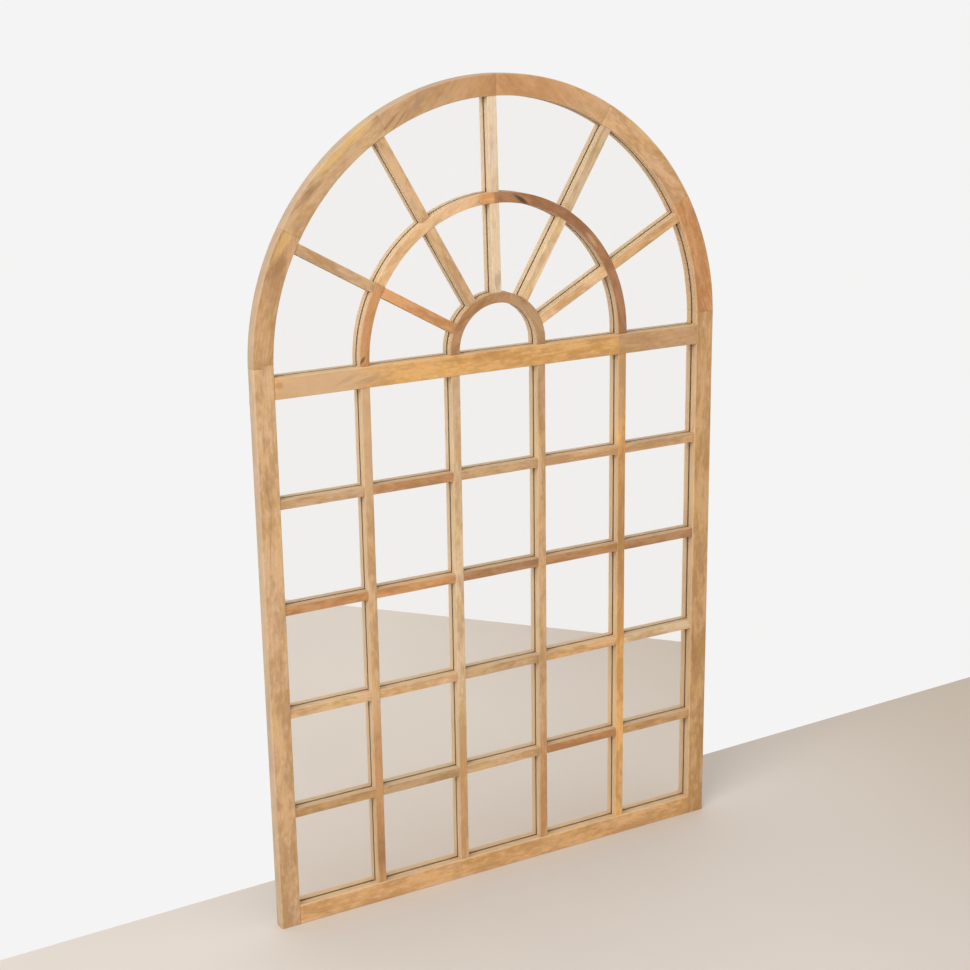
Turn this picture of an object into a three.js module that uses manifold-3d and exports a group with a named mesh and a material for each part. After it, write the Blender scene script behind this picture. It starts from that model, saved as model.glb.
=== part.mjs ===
// An arched window mirror: a wooden frame with a half-round head, one sheet of mirror
// glass, a grid of glazing bars with a fanlight in the arch, a backing board and two ring
// hangers. Millimetres, +Z up. X runs across the mirror, to the right as seen from the
// front, and the front looks towards -Y. The origin is at the middle of the footprint.

import * as THREE from 'three';
import { mergeVertices } from 'three/addons/utils/BufferGeometryUtils.js';
import Module from 'manifold-3d';

const wasm = await Module();
wasm.setup();

// Driving dimensions of the frame.
const WIDTH = 1000;
const SPRING_HEIGHT = 1100;
const FRAME_DEPTH = 25;
const FRAME_FACE = 40;
const RAIL_FACE = 40;
const TRANSOM_FACE = 40;
const TRANSOM_DROP = 12;
const STILE_RISE = 13;
const STEPPED_JOINT = 5.5;
const BOARD_EASE = 2;
const GLUE_LINE = 0.2;
const FITTED_PLAY = 0.3;
const HEAD_JOINT_ANGLES = [150, 119, 90, 60, 30];

// Glass and backing board, each in its own step of the rabbet.
const GLASS_SETBACK = 16;
const GLASS_THICKNESS = 4;
const GLASS_LAP = 7;
const PANEL_PLAY = 1;
const BACKING_THICKNESS = 3;
const BACKING_LAP = 20;

// Glazing bars and fanlight.
const COLUMNS = 5;
const ROWS = 5;
const BAR_FACE = 18;
const BAR_SETBACK = 2;
const BAR_EASE = 1.2;
const FAN_RISE = 6;
const FAN_ARC_FACE = 20;
const SPOKE_FACE = 19;
const HUB_DROP = 3;
const SPOKE_ANGLES = [150.5, 120, 91, 59, 28.5];
const FAN_OUTER_JOINT_ANGLES = [150, 97.5, 91, 30];
const FAN_INNER_JOINT_ANGLES = [75];

// Ring hangers.
const HANGER_DROP = 63;
const HANGER_INSET = 9.5;
const STRAP_WIDTH = 11;
const STRAP_LENGTH = 36;
const STRAP_THICKNESS = 1.25;
const STRAP_SCREW_DROP = 27;
const CURL_END_ANGLE = -60;
const WIRE_RADIUS = 1.25;
const WIRE_PLAY = 0.25;
const RING_SIDE_PLAY = 0.6;
const RING_LEG = 10;
const RING_CORNER = 2;
const WIRE_END_GAP = 0.8;
const SCREW_RADIUS = 1.5;
const SCREW_REACH = 16;
const SCREW_HEAD_RADIUS = 3.1;
const SCREW_HEAD_DEPTH = 1.6;

// Facets: one step of each arc, and sides of the round pieces.
const HEAD_STEP_ANGLE = 2.5;
const FAN_OUTER_STEP_ANGLE = 3;
const FAN_INNER_STEP_ANGLE = 5;
const CUTTER_SIDES = 144;
const PANEL_SEGMENTS = 24;
const CURL_SEGMENTS = 6;
const SCREW_SIDES = 8;
const WIRE_SIDES = 8;
const WIRE_STEPS = 34;

// What follows from the driving dimensions.
const HALF_TURN_ANGLE = 180;
const halfWidth = WIDTH / 2;
const sightHalf = halfWidth - FRAME_FACE;
const headRadius = halfWidth - FRAME_FACE / 2;
const transomTop = SPRING_HEIGHT - TRANSOM_DROP;
const transomBottom = transomTop - TRANSOM_FACE;
const stileTop = SPRING_HEIGHT + STILE_RISE;
const backingFront = GLASS_SETBACK + GLASS_THICKNESS;
const barDepth = GLASS_SETBACK - BAR_SETBACK;
const paneWidth = (2 * sightHalf - (COLUMNS - 1) * BAR_FACE) / COLUMNS;
const paneHeight = (transomBottom - RAIL_FACE - (ROWS - 1) * BAR_FACE) / ROWS;
const columnPitch = paneWidth + BAR_FACE;
const rowPitch = paneHeight + BAR_FACE;
const fanCentre = transomTop + FAN_RISE;
const fanOuterRadius = (COLUMNS / 2 - 1) * columnPitch;
const fanInnerRadius = fanOuterRadius - columnPitch;
const pivotProud = STRAP_THICKNESS + WIRE_PLAY + WIRE_RADIUS;
const totalDepth = FRAME_DEPTH + pivotProud * 2;
const hangerHeight = stileTop - HANGER_DROP;

const TONES = {
  honey: 0xc39a63,
  golden: 0xc8a05c,
  tan: 0xbd9468,
  cream: 0xd2b888,
  russet: 0xb0794a,
  umber: 0x8f6a45,
  plum: 0x8a6650,
};

/** A material for wood of one tone. */
function wood(tone) {
  return new THREE.MeshStandardMaterial({ color: TONES[tone], roughness: 0.55, metalness: 0 });
}

/** A bare steel material. */
function steel() {
  return new THREE.MeshStandardMaterial({ color: 0xb9bcc0, roughness: 0.35, metalness: 1 });
}

/** Turns a closed geometry into a solid that can be cut. */
function solidOf(geometry) {
  const bare = geometry.clone();
  bare.deleteAttribute('normal');
  bare.deleteAttribute('uv');
  const merged = mergeVertices(bare);
  const corners = [];
  for (let i = 0; i < merged.index.count; i += 3) {
    const triangle = [0, 1, 2].map((k) => merged.index.getX(i + k));
    if (new Set(triangle).size === 3) {
      corners.push(...triangle);
    }
  }
  const vertProperties = new Float32Array(merged.attributes.position.array);
  return new wasm.Manifold(new wasm.Mesh({ numProp: 3, vertProperties, triVerts: new Uint32Array(corners) }));
}

/** Turns a solid back into a geometry. */
function geometryOf(solid) {
  const mesh = solid.getMesh();
  const geometry = new THREE.BufferGeometry();
  geometry.setAttribute('position', new THREE.BufferAttribute(mesh.vertProperties, 3));
  geometry.setIndex(new THREE.BufferAttribute(mesh.triVerts, 1));
  geometry.computeVertexNormals();
  return geometry;
}

/** Cuts a placed mesh with a solid that stands in the mirror's own coordinates. */
function carve(mesh, cutter) {
  mesh.updateWorldMatrix(true, false);
  const placed = solidOf(mesh.geometry.clone().applyMatrix4(mesh.matrixWorld));
  mesh.geometry = geometryOf(placed.subtract(cutter)).applyMatrix4(mesh.matrixWorld.clone().invert());
}

/** Section of a board: x across its face, y into its depth, front edges eased. */
function boardSection(face, depth, ease) {
  const half = face / 2;
  const shape = new THREE.Shape();
  shape.moveTo(-half, depth);
  shape.lineTo(-half, ease);
  shape.absarc(-half + ease, ease, ease, Math.PI, 1.5 * Math.PI, false);
  shape.lineTo(half - ease, 0);
  shape.absarc(half - ease, ease, ease, 1.5 * Math.PI, 2 * Math.PI, false);
  shape.lineTo(half, depth);
  shape.closePath();
  return shape;
}

/** A straight board that runs up from its own origin. */
function straightBoard(length, face, depth, ease) {
  return new THREE.ExtrudeGeometry(boardSection(face, depth, ease), {
    depth: length,
    bevelEnabled: false,
    curveSegments: 1,
  });
}

/** A path drawn in the plane of the mirror; a section's x stays in that plane, its y points back. */
class InPlanePath extends THREE.Curve {
  constructor(flat) {
    super();
    this.flat = flat;
  }

  getPoint(t, target = new THREE.Vector3()) {
    const point = this.flat.getPointAt(t);
    return target.set(point.x, 0, point.y);
  }

  computeFrenetFrames(segments) {
    const frames = { tangents: [], normals: [], binormals: [] };
    for (let i = 0; i <= segments; i++) {
      const along = this.flat.getTangentAt(i / segments);
      frames.tangents.push(new THREE.Vector3(along.x, 0, along.y));
      frames.normals.push(new THREE.Vector3(along.y, 0, -along.x));
      frames.binormals.push(new THREE.Vector3(0, 1, 0));
    }
    return frames;
  }
}

/** A board bent round the origin between two angles in degrees, short of both by half a glue line. */
function curvedBoard(radius, face, depth, ease, from, to, step) {
  const trim = THREE.MathUtils.radToDeg(GLUE_LINE / 2 / radius);
  const start = THREE.MathUtils.degToRad(from + trim);
  const end = THREE.MathUtils.degToRad(to - trim);
  const flat = new THREE.EllipseCurve(0, 0, radius, radius, start, end, false, 0);
  return new THREE.ExtrudeGeometry(boardSection(face, depth, ease), {
    extrudePath: new InPlanePath(flat),
    steps: Math.ceil((to - from) / step),
    curveSegments: 1,
  });
}

/** A block between two corners. */
function block(low, high) {
  const size = new THREE.Vector3().subVectors(high, low);
  const middle = new THREE.Vector3().addVectors(low, high).multiplyScalar(0.5);
  return new THREE.BoxGeometry(size.x, size.y, size.z).translate(middle.x, middle.y, middle.z);
}

/** A flat panel with the outline of the sight opening, grown by a lap on every side. */
function archPanel(lap, front, thickness) {
  const half = sightHalf + lap;
  const shape = new THREE.Shape();
  shape.moveTo(-half, RAIL_FACE - lap);
  shape.lineTo(half, RAIL_FACE - lap);
  shape.absarc(0, SPRING_HEIGHT, half, 0, Math.PI, false);
  shape.closePath();
  const panel = new THREE.ExtrudeGeometry(shape, {
    depth: thickness,
    bevelEnabled: false,
    curveSegments: PANEL_SEGMENTS,
  });
  return panel.rotateX(Math.PI / 2).translate(0, front + thickness, 0);
}

/** A disc that faces the front, as a cutter about a centre in the mirror's plane. */
function disc(radius, centreHeight) {
  const cutter = new THREE.CylinderGeometry(radius, radius, 4 * FRAME_DEPTH, CUTTER_SIDES);
  return solidOf(cutter.translate(0, 0, -centreHeight).rotateX(Math.PI));
}

/** A countersunk screw whose head is flush with the origin, or with play the hole it sits in. */
function countersunkScrew(play) {
  const outline = [
    [0, -SCREW_REACH - play],
    [SCREW_RADIUS + play, 2 * SCREW_RADIUS - SCREW_REACH],
    [SCREW_RADIUS + play, -SCREW_HEAD_DEPTH - play],
    [SCREW_HEAD_RADIUS + play, 0],
    [SCREW_HEAD_RADIUS + play, play],
    [0, play],
  ];
  const profile = outline.filter((point, i) => play > 0 || i !== 4);
  return new THREE.LatheGeometry(profile.map(([r, y]) => new THREE.Vector2(r, y)), SCREW_SIDES);
}

/** Adds a named mesh to a group at a place, turned about the front-to-back axis. */
function place(group, name, geometry, material, position, turn = 0) {
  const mesh = new THREE.Mesh(geometry, material);
  mesh.name = name;
  mesh.position.copy(position);
  mesh.rotation.y = turn;
  group.add(mesh);
  return mesh;
}

const at = (x, y, z) => new THREE.Vector3(x, y, z);
const mirror = new THREE.Group();
const quarterTurn = Math.PI / 2;

// Frame: stiles, bottom rail and the six boards of the head.
const frame = new THREE.Group();
mirror.add(frame);
const stileGeometry = () => straightBoard(stileTop, FRAME_FACE, FRAME_DEPTH, BOARD_EASE);
const stileLeft = place(frame, 'stile_left', stileGeometry(), wood('golden'), at(-headRadius, 0, 0));
const stileRight = place(frame, 'stile_right', stileGeometry(), wood('golden'), at(headRadius, 0, 0));
const railLength = 2 * sightHalf - GLUE_LINE;
const railGeometry = straightBoard(railLength, RAIL_FACE, FRAME_DEPTH, BOARD_EASE);
const bottomRail = place(
  frame, 'bottom_rail', railGeometry, wood('honey'), at(-railLength / 2, 0, RAIL_FACE / 2), quarterTurn,
);

const head = new THREE.Group();
head.position.z = SPRING_HEIGHT;
frame.add(head);
const headTones = ['umber', 'honey', 'tan', 'tan', 'honey', 'russet'];
const headEnds = [HALF_TURN_ANGLE, ...HEAD_JOINT_ANGLES, 0];
const headBoards = headTones.map((tone, i) => {
  const [to, from] = [headEnds[i], headEnds[i + 1]];
  const geometry = curvedBoard(headRadius, FRAME_FACE, FRAME_DEPTH, BOARD_EASE, from, to, HEAD_STEP_ANGLE);
  return place(head, `arch_segment_${i + 1}`, geometry, wood(tone), at(0, 0, 0));
});

// The head's feet stand on the stiles: a plain butt on the right, a stepped joint on the left.
const pastEdge = FRAME_DEPTH;
const stepDown = stileTop - STEPPED_JOINT;
const rightSeat = block(
  at(sightHalf - pastEdge, -pastEdge, 0), at(halfWidth + pastEdge, 2 * FRAME_DEPTH, stileTop + GLUE_LINE),
);
const leftInnerSeat = block(
  at(-headRadius - GLUE_LINE, -pastEdge, 0), at(pastEdge - sightHalf, 2 * FRAME_DEPTH, stileTop + GLUE_LINE),
);
const leftOuterSeat = block(
  at(-halfWidth - pastEdge, -pastEdge, 0), at(-headRadius, 2 * FRAME_DEPTH, stepDown + GLUE_LINE),
);
const leftStep = block(
  at(-halfWidth - pastEdge, -pastEdge, stepDown), at(-headRadius, 2 * FRAME_DEPTH, stileTop + pastEdge),
);
carve(headBoards[headBoards.length - 1], solidOf(rightSeat));
carve(headBoards[0], solidOf(leftInnerSeat).add(solidOf(leftOuterSeat)));
carve(stileLeft, solidOf(leftStep));

// Transom: two boards, butted beside the last upright bar.
const transomJoint = (COLUMNS / 2 - 1) * columnPitch - BAR_FACE / 2;
const transomMiddle = transomTop - TRANSOM_FACE / 2;
const transomBoards = [
  { name: 'transom_long', from: -sightHalf, to: transomJoint, tone: 'golden' },
  { name: 'transom_short', from: transomJoint, to: sightHalf, tone: 'umber' },
];
for (const { name, from, to, tone } of transomBoards) {
  const geometry = straightBoard(to - from - GLUE_LINE, TRANSOM_FACE, GLASS_SETBACK, BOARD_EASE);
  place(frame, name, geometry, wood(tone), at(from + GLUE_LINE / 2, 0, transomMiddle), quarterTurn);
}

// Hangers: a strap screwed to the back of each stile, with a ring that swings in its curl.
const strapBack = FRAME_DEPTH + STRAP_THICKNESS;
const hangers = [
  { side: 'left', x: HANGER_INSET - halfWidth },
  { side: 'right', x: halfWidth - HANGER_INSET },
];

/** A strap with a curl at its top, about the axis of its ring at the origin. */
function strap() {
  const inner = WIRE_RADIUS + WIRE_PLAY;
  const outer = inner + STRAP_THICKNESS;
  const curlEnd = THREE.MathUtils.degToRad(CURL_END_ANGLE);
  const side = new THREE.Shape();
  side.moveTo(-outer, -STRAP_LENGTH);
  side.lineTo(-outer, 0);
  side.absarc(0, 0, outer, Math.PI, curlEnd, true);
  side.absarc(0, 0, inner, curlEnd, Math.PI, false);
  side.lineTo(-inner, -STRAP_LENGTH);
  side.closePath();
  const geometry = new THREE.ExtrudeGeometry(side, {
    depth: STRAP_WIDTH,
    bevelEnabled: false,
    curveSegments: CURL_SEGMENTS,
  });
  geometry.translate(0, 0, -STRAP_WIDTH / 2);
  const axes = new THREE.Matrix4().makeBasis(at(0, 1, 0), at(0, 0, 1), at(1, 0, 0));
  return geometry.applyMatrix4(axes);
}

/** A ring bent from wire, hanging below its straight bar; the wire's ends meet inside the curl. */
function hangerRing() {
  const half = STRAP_WIDTH / 2 + RING_SIDE_PLAY + WIRE_RADIUS;
  const wire = new THREE.Path();
  wire.moveTo(WIRE_END_GAP / 2, 0);
  wire.lineTo(half - RING_CORNER, 0);
  wire.absarc(half - RING_CORNER, -RING_CORNER, RING_CORNER, quarterTurn, 0, true);
  wire.lineTo(half, -RING_LEG);
  wire.absarc(0, -RING_LEG, half, 0, -Math.PI, true);
  wire.lineTo(-half, -RING_CORNER);
  wire.absarc(RING_CORNER - half, -RING_CORNER, RING_CORNER, Math.PI, quarterTurn, true);
  wire.lineTo(-WIRE_END_GAP / 2, 0);
  const round = new THREE.Shape();
  round.absarc(0, 0, WIRE_RADIUS, 0, 2 * Math.PI, false);
  return new THREE.ExtrudeGeometry(round, {
    extrudePath: new InPlanePath(wire),
    steps: WIRE_STEPS,
    curveSegments: WIRE_SIDES / 2,
  });
}

const screwHoles = [];
for (const { side, x } of hangers) {
  const pivot = at(x, FRAME_DEPTH + pivotProud, hangerHeight);
  const screwPlace = at(x, strapBack, hangerHeight - STRAP_SCREW_DROP);
  const hole = countersunkScrew(FITTED_PLAY).translate(screwPlace.x, screwPlace.y, screwPlace.z);
  screwHoles.push(solidOf(hole));
  carve(place(mirror, `hanger_strap_${side}`, strap(), steel(), pivot), solidOf(hole));
  place(mirror, `hanger_ring_${side}`, hangerRing(), steel(), pivot);
  place(mirror, `hanger_screw_${side}`, countersunkScrew(0), steel(), screwPlace);
}

// The rabbets and the hangers' screw holes are cut into the boards that they cross.
const glassRabbet = solidOf(archPanel(GLASS_LAP + PANEL_PLAY, GLASS_SETBACK, FRAME_DEPTH));
const backingRabbet = solidOf(archPanel(BACKING_LAP + PANEL_PLAY, backingFront, FRAME_DEPTH));
const frameCuts = screwHoles.reduce((cuts, hole) => cuts.add(hole), glassRabbet.add(backingRabbet));
for (const board of [stileLeft, stileRight, bottomRail, ...headBoards]) {
  carve(board, frameCuts);
}

// Glass and backing board.
const silvered = new THREE.MeshStandardMaterial({ color: 0xe9ecec, roughness: 0.03, metalness: 1 });
const hardboard = new THREE.MeshStandardMaterial({ color: 0x8a6a4a, roughness: 0.85, metalness: 0 });
place(mirror, 'mirror_glass', archPanel(GLASS_LAP, GLASS_SETBACK, GLASS_THICKNESS), silvered, at(0, 0, 0));
const backing = archPanel(BACKING_LAP, backingFront, BACKING_THICKNESS);
place(mirror, 'backing_board', backing, hardboard, at(0, 0, 0));

// Grid of glazing bars: full-height uprights, and short bars between them.
const grid = new THREE.Group();
grid.position.y = BAR_SETBACK;
mirror.add(grid);
const uprightTones = ['tan', 'golden', 'honey', 'honey'];
const uprightLength = transomBottom - RAIL_FACE - GLUE_LINE;
for (let i = 1; i < COLUMNS; i++) {
  const geometry = straightBoard(uprightLength, BAR_FACE, barDepth, BAR_EASE);
  const tone = uprightTones[(i - 1) % uprightTones.length];
  const foot = at((i - COLUMNS / 2) * columnPitch, 0, RAIL_FACE + GLUE_LINE / 2);
  place(grid, `upright_bar_${i}`, geometry, wood(tone), foot);
}
const crossTones = [
  ['tan', 'umber', 'tan', 'umber', 'tan'],
  ['russet', 'honey', 'umber', 'russet', 'umber'],
  ['tan', 'honey', 'golden', 'honey', 'tan'],
  ['honey', 'golden', 'golden', 'umber', 'golden'],
];
for (let row = 1; row < ROWS; row++) {
  for (let column = 1; column <= COLUMNS; column++) {
    const geometry = straightBoard(paneWidth - GLUE_LINE, BAR_FACE, barDepth, BAR_EASE);
    const tones = crossTones[(row - 1) % crossTones.length];
    const left = -sightHalf + (column - 1) * columnPitch + GLUE_LINE / 2;
    const height = transomBottom + BAR_FACE / 2 - row * rowPitch;
    const tone = tones[(column - 1) % tones.length];
    place(grid, `cross_bar_r${row}_c${column}`, geometry, wood(tone), at(left, 0, height), quarterTurn);
  }
}

// Fanlight: two concentric arches that stand on the transom, and the spokes between them.
const fan = new THREE.Group();
fan.position.set(0, BAR_SETBACK, fanCentre);
mirror.add(fan);
const footReach = 2 * FAN_RISE + 2 * GLUE_LINE;
const belowTransom = solidOf(block(
  at(-sightHalf, -pastEdge, 0), at(sightHalf, 2 * FRAME_DEPTH, transomTop + GLUE_LINE / 2),
));

/** The boards of one fanlight arch, from the left foot to the right foot. */
function fanArch(name, radius, joints, step, tones) {
  const overrun = THREE.MathUtils.radToDeg(footReach / radius);
  const ends = [HALF_TURN_ANGLE + overrun, ...joints, -overrun];
  tones.forEach((tone, i) => {
    const geometry = curvedBoard(radius, FAN_ARC_FACE, barDepth, BAR_EASE, ends[i + 1], ends[i], step);
    const board = place(fan, `${name}_${i + 1}`, geometry, wood(tone), at(0, 0, 0));
    if (i === 0 || i === tones.length - 1) {
      carve(board, belowTransom);
    }
  });
}

fanArch(
  'fan_outer_arc', fanOuterRadius, FAN_OUTER_JOINT_ANGLES, FAN_OUTER_STEP_ANGLE,
  ['honey', 'tan', 'russet', 'plum', 'umber'],
);
fanArch('fan_inner_arc', fanInnerRadius, FAN_INNER_JOINT_ANGLES, FAN_INNER_STEP_ANGLE, ['umber', 'tan']);

/** One ring of spokes between a disc to stay clear of and a disc to stay within. */
function spokes(name, outside, within, tones) {
  const hub = at(0, 0, -FAN_RISE - HUB_DROP);
  SPOKE_ANGLES.forEach((angle, i) => {
    const turn = THREE.MathUtils.degToRad(90 - angle);
    const geometry = straightBoard(halfWidth, SPOKE_FACE, barDepth, BAR_EASE);
    const spoke = place(fan, `${name}_${i + 1}`, geometry, wood(tones[i]), hub, turn);
    spoke.updateWorldMatrix(true, false);
    const placed = solidOf(spoke.geometry.clone().applyMatrix4(spoke.matrixWorld));
    const fitted = placed.subtract(outside).intersect(within);
    spoke.geometry = geometryOf(fitted).applyMatrix4(spoke.matrixWorld.clone().invert());
  });
}

const halfArc = FAN_ARC_FACE / 2;
spokes(
  'fan_outer_spoke',
  disc(fanOuterRadius + halfArc + FITTED_PLAY, fanCentre),
  disc(sightHalf - FITTED_PLAY, SPRING_HEIGHT),
  ['tan', 'golden', 'cream', 'tan', 'honey'],
);
spokes(
  'fan_inner_spoke',
  disc(fanInnerRadius + halfArc + FITTED_PLAY, fanCentre),
  disc(fanOuterRadius - halfArc - FITTED_PLAY, fanCentre),
  ['russet', 'golden', 'cream', 'tan', 'honey'],
);

mirror.position.y = -totalDepth / 2;

export default mirror;
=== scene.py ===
"""Looks of an arched window mirror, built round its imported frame.

The mirror is a wooden surround with a half-round head, one sheet of mirror glass, a grid of
glazing bars with a fanlight in the arch, a backing board, and two ring hangers on the back.
Every board is made again here as a surface: its eased section carried along a straight or a
bent path. Lengths in the classes are millimetres and become metres when a mesh is made.
"""

import logging
import math
from abc import ABC, abstractmethod
from collections.abc import Callable, Mapping, Sequence
from dataclasses import dataclass
from enum import Enum

import bpy
import numpy as np
from mathutils import Matrix, Vector

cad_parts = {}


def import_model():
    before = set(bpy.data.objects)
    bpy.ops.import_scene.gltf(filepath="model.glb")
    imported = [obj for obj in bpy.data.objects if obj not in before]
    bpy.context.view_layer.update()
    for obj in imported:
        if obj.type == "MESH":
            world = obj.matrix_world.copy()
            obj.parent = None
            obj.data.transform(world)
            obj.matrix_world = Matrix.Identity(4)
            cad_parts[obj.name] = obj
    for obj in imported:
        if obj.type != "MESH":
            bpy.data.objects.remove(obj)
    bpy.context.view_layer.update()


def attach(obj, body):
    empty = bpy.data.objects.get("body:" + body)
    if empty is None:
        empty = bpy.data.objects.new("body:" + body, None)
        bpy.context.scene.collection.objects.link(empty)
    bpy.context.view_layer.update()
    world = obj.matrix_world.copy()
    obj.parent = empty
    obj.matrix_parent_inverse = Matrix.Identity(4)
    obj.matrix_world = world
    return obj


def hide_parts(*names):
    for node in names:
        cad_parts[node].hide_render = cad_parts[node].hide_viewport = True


Array = np.ndarray
Socket = bpy.types.NodeSocket
Inputs = Mapping[str | int, object]
Reach = Callable[[Array], Array]
Colour = tuple[float, float, float, float]
Spot = tuple[float, float]
Place = tuple[float, float, float]

log = logging.getLogger("arched_mirror")

COLOUR, NUMBER, VECTOR = "NodeSocketColor", "NodeSocketFloat", "NodeSocketVector"
MILLIMETRE = 0.001
PER_METRE = (1000.0, 1000.0, 1000.0)
FRONT_PLANE = -15.25
FLANK_START = 1.2
BACK_BAND = 0.8
HAIR = 0.01
# Shares of a pale painted-light colour: on the boards' sides, standing in for the light they catch, and on
# their backs, for light reaching them through the glass.
SIDE_PAINTED_LIGHT = 0.55
BACK_PAINTED_LIGHT = 0.75
# Share of a greyer painted sheen on the surround's outer side.
SIDE_PAINTED_SHEEN = 0.6
COOL_PATCH = (1.0, 0.99, 1.03, 1.0)
WARM_PATCH = (1.02, 1.0, 0.9, 1.0)
PALE_WOOD = (1.17, 1.205, 1.27)
DEEP_WOOD = (0.84, 0.79, 0.7)
STREAK_WOOD = (0.66, 0.52, 0.36)
CROSS_HALF = 0.42
CROSS_REACH = 0.66
MIRROR_BODY = "mirror"
HANGERS = (("left", -490.5), ("right", 490.5))


# ---------------------------------------------------------------------------
# Colours and node wiring
# ---------------------------------------------------------------------------


def linear(code: str) -> Colour:
    """Turns a screen colour into the linear colour that a shader works in.

    Args:
        code: Six hexadecimal digits, red, green and blue.

    Returns:
        Linear red, green, blue and an alpha of one.
    """
    screen = np.array([int(code[i : i + 2], 16) for i in (0, 2, 4)]) / 255.0
    values = np.where(screen <= 0.04045, screen / 12.92, ((screen + 0.055) / 1.055) ** 2.4)
    return (*values.tolist(), 1.0)


def tinted(colour: Colour, tint: Sequence[float]) -> Colour:
    """A colour with its red, green and blue each made lighter or darker."""
    return (*(value * share for value, share in zip(colour, tint)), 1.0)


def shaded(colour: Colour, share: float) -> Colour:
    """A colour made lighter or darker by one share."""
    return tinted(colour, (share, share, share))


class Wiring:
    """Adds nodes to a shader tree and joins them."""

    def __init__(self, tree: bpy.types.NodeTree) -> None:
        """Keeps the tree that the nodes go into."""
        self.tree = tree

    def node(self, kind: str, inputs: Inputs | None = None, **settings: object) -> bpy.types.Node:
        """Adds a node.

        Args:
            kind: The node's type name.
            inputs: What its inputs are fed with, by name or number.
            **settings: Properties of the node and their values.

        Returns:
            The new node.
        """
        made = self.tree.nodes.new(kind)
        for name, value in settings.items():
            setattr(made, name, value)
        self.feed(made, inputs or {})
        return made

    def feed(self, node: bpy.types.Node, inputs: Inputs) -> None:
        """Links inputs of a node to outputs, or writes plain values into them.

        Args:
            node: The node.
            inputs: An output socket, a number or a tuple of numbers for each input.
        """
        for name, source in inputs.items():
            if isinstance(source, bpy.types.NodeSocket):
                self.tree.links.new(source, node.inputs[name])
            else:
                node.inputs[name].default_value = source

    def number(self, operation: str, *terms: object) -> Socket:
        """One step of arithmetic on numbers, its terms in the order of the Math node's inputs."""
        return self.node("ShaderNodeMath", dict(enumerate(terms)), operation=operation).outputs[0]

    def vector(self, operation: str, *terms: object) -> Socket:
        """One step of arithmetic on vectors, its terms in the order of the node's inputs."""
        return self.node("ShaderNodeVectorMath", dict(enumerate(terms)), operation=operation).outputs[0]

    def times(self, first: object, second: object) -> Socket:
        """Multiplies two numbers."""
        return self.number("MULTIPLY", first, second)

    def noise(self, place: Socket, stretch: Place, detail: float = 2.0) -> Socket:
        """Reads soft noise, about one half and mostly from 0.25 to 0.75.

        Args:
            place: Where the noise is read.
            stretch: Cycles per unit of the place along the three axes.
            detail: Octaves of finer noise.

        Returns:
            The noise.
        """
        inputs = {"Vector": self.vector("MULTIPLY", place, stretch), "Scale": 1.0, "Detail": detail}
        return self.node("ShaderNodeTexNoise", inputs, noise_dimensions="3D").outputs["Fac"]

    def span(
        self, value: Socket, low: float, high: float, to_low: float = 0.0, to_high: float = 1.0
    ) -> Socket:
        """Carries a value smoothly from one range to another, held at its ends.

        Args:
            value: The value that is carried.
            low: Where the range starts.
            high: Where the range ends.
            to_low: The result at the start.
            to_high: The result at the end.

        Returns:
            The result.
        """
        inputs = dict(enumerate((value, low, high, to_low, to_high)))
        return self.node("ShaderNodeMapRange", inputs, interpolation_type="SMOOTHSTEP").outputs["Result"]

    def mix(self, share: object, first: object, second: object, blend: str = "MIX") -> Socket:
        """Mixes two colours.

        Args:
            share: How much of the second colour shows.
            first: An output or a colour.
            second: An output or a colour.
            blend: The Mix node's blend type.

        Returns:
            The mixed colour.
        """
        inputs = {"Factor": share, 6: first, 7: second}
        made = self.node("ShaderNodeMix", inputs, data_type="RGBA", blend_type=blend, clamp_factor=True)
        return made.outputs[2]

    def place(self) -> Socket:
        """Object coordinates, in metres."""
        return self.node("ShaderNodeTexCoord").outputs["Object"]

    def own_place(self, place: Socket, start: Place, turn: float, size: Place = PER_METRE) -> Socket:
        """A place seen from a frame of its own.

        Args:
            place: Object coordinates.
            start: Origin of the frame, in millimetres.
            turn: Turn of its first axis from X towards Z, in radians.
            size: Lengths of its three units, in millimetres.

        Returns:
            The place in that frame.
        """
        inputs = {"Vector": place, "Rotation": (0.0, -turn, 0.0)}
        for name, triple in (("Location", start), ("Scale", size)):
            inputs[name] = tuple(float(value) * MILLIMETRE for value in triple)
        return self.node("ShaderNodeMapping", inputs, vector_type="TEXTURE").outputs["Vector"]

    def attribute(self, name: str) -> Socket:
        """The value of one of the mesh's own attributes."""
        return self.node("ShaderNodeAttribute", attribute_name=name).outputs["Fac"]

    def bump(self, height: Socket, strength: float, distance: float) -> Socket:
        """The normal of a surface raised by a height, one unit of which is a distance in metres."""
        inputs = {"Strength": strength, "Distance": distance, "Height": height}
        return self.node("ShaderNodeBump", inputs).outputs["Normal"]


class GroupWiring(Wiring):
    """Wiring of a new shader node group with named sockets."""

    def __init__(self, name: str, inputs: Mapping[str, str], outputs: Mapping[str, str]) -> None:
        """Makes the group.

        Args:
            name: The group's name.
            inputs: Kind of each named input.
            outputs: Kind of each named output.
        """
        super().__init__(bpy.data.node_groups.new(name, "ShaderNodeTree"))
        for side, sockets in (("INPUT", inputs), ("OUTPUT", outputs)):
            for socket, kind in sockets.items():
                self.tree.interface.new_socket(name=socket, in_out=side, socket_type=kind)
        self.given = self.node("NodeGroupInput").outputs

    def close(self, results: Inputs) -> bpy.types.NodeTree:
        """Feeds the group's outputs and hands over the group."""
        self.node("NodeGroupOutput", results)
        return self.tree


class MaterialWiring(Wiring):
    """Wiring of a new material round its Principled shader."""

    def __init__(self, name: str) -> None:
        """Makes the material.

        Args:
            name: The material's name.
        """
        self.material = bpy.data.materials.new(name)
        self.material.use_nodes = True
        super().__init__(self.material.node_tree)

    def close(self, results: Inputs) -> bpy.types.Material:
        """Feeds the shader's inputs and hands over the material."""
        self.feed(self.tree.nodes["Principled BSDF"], results)
        return self.material


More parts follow.
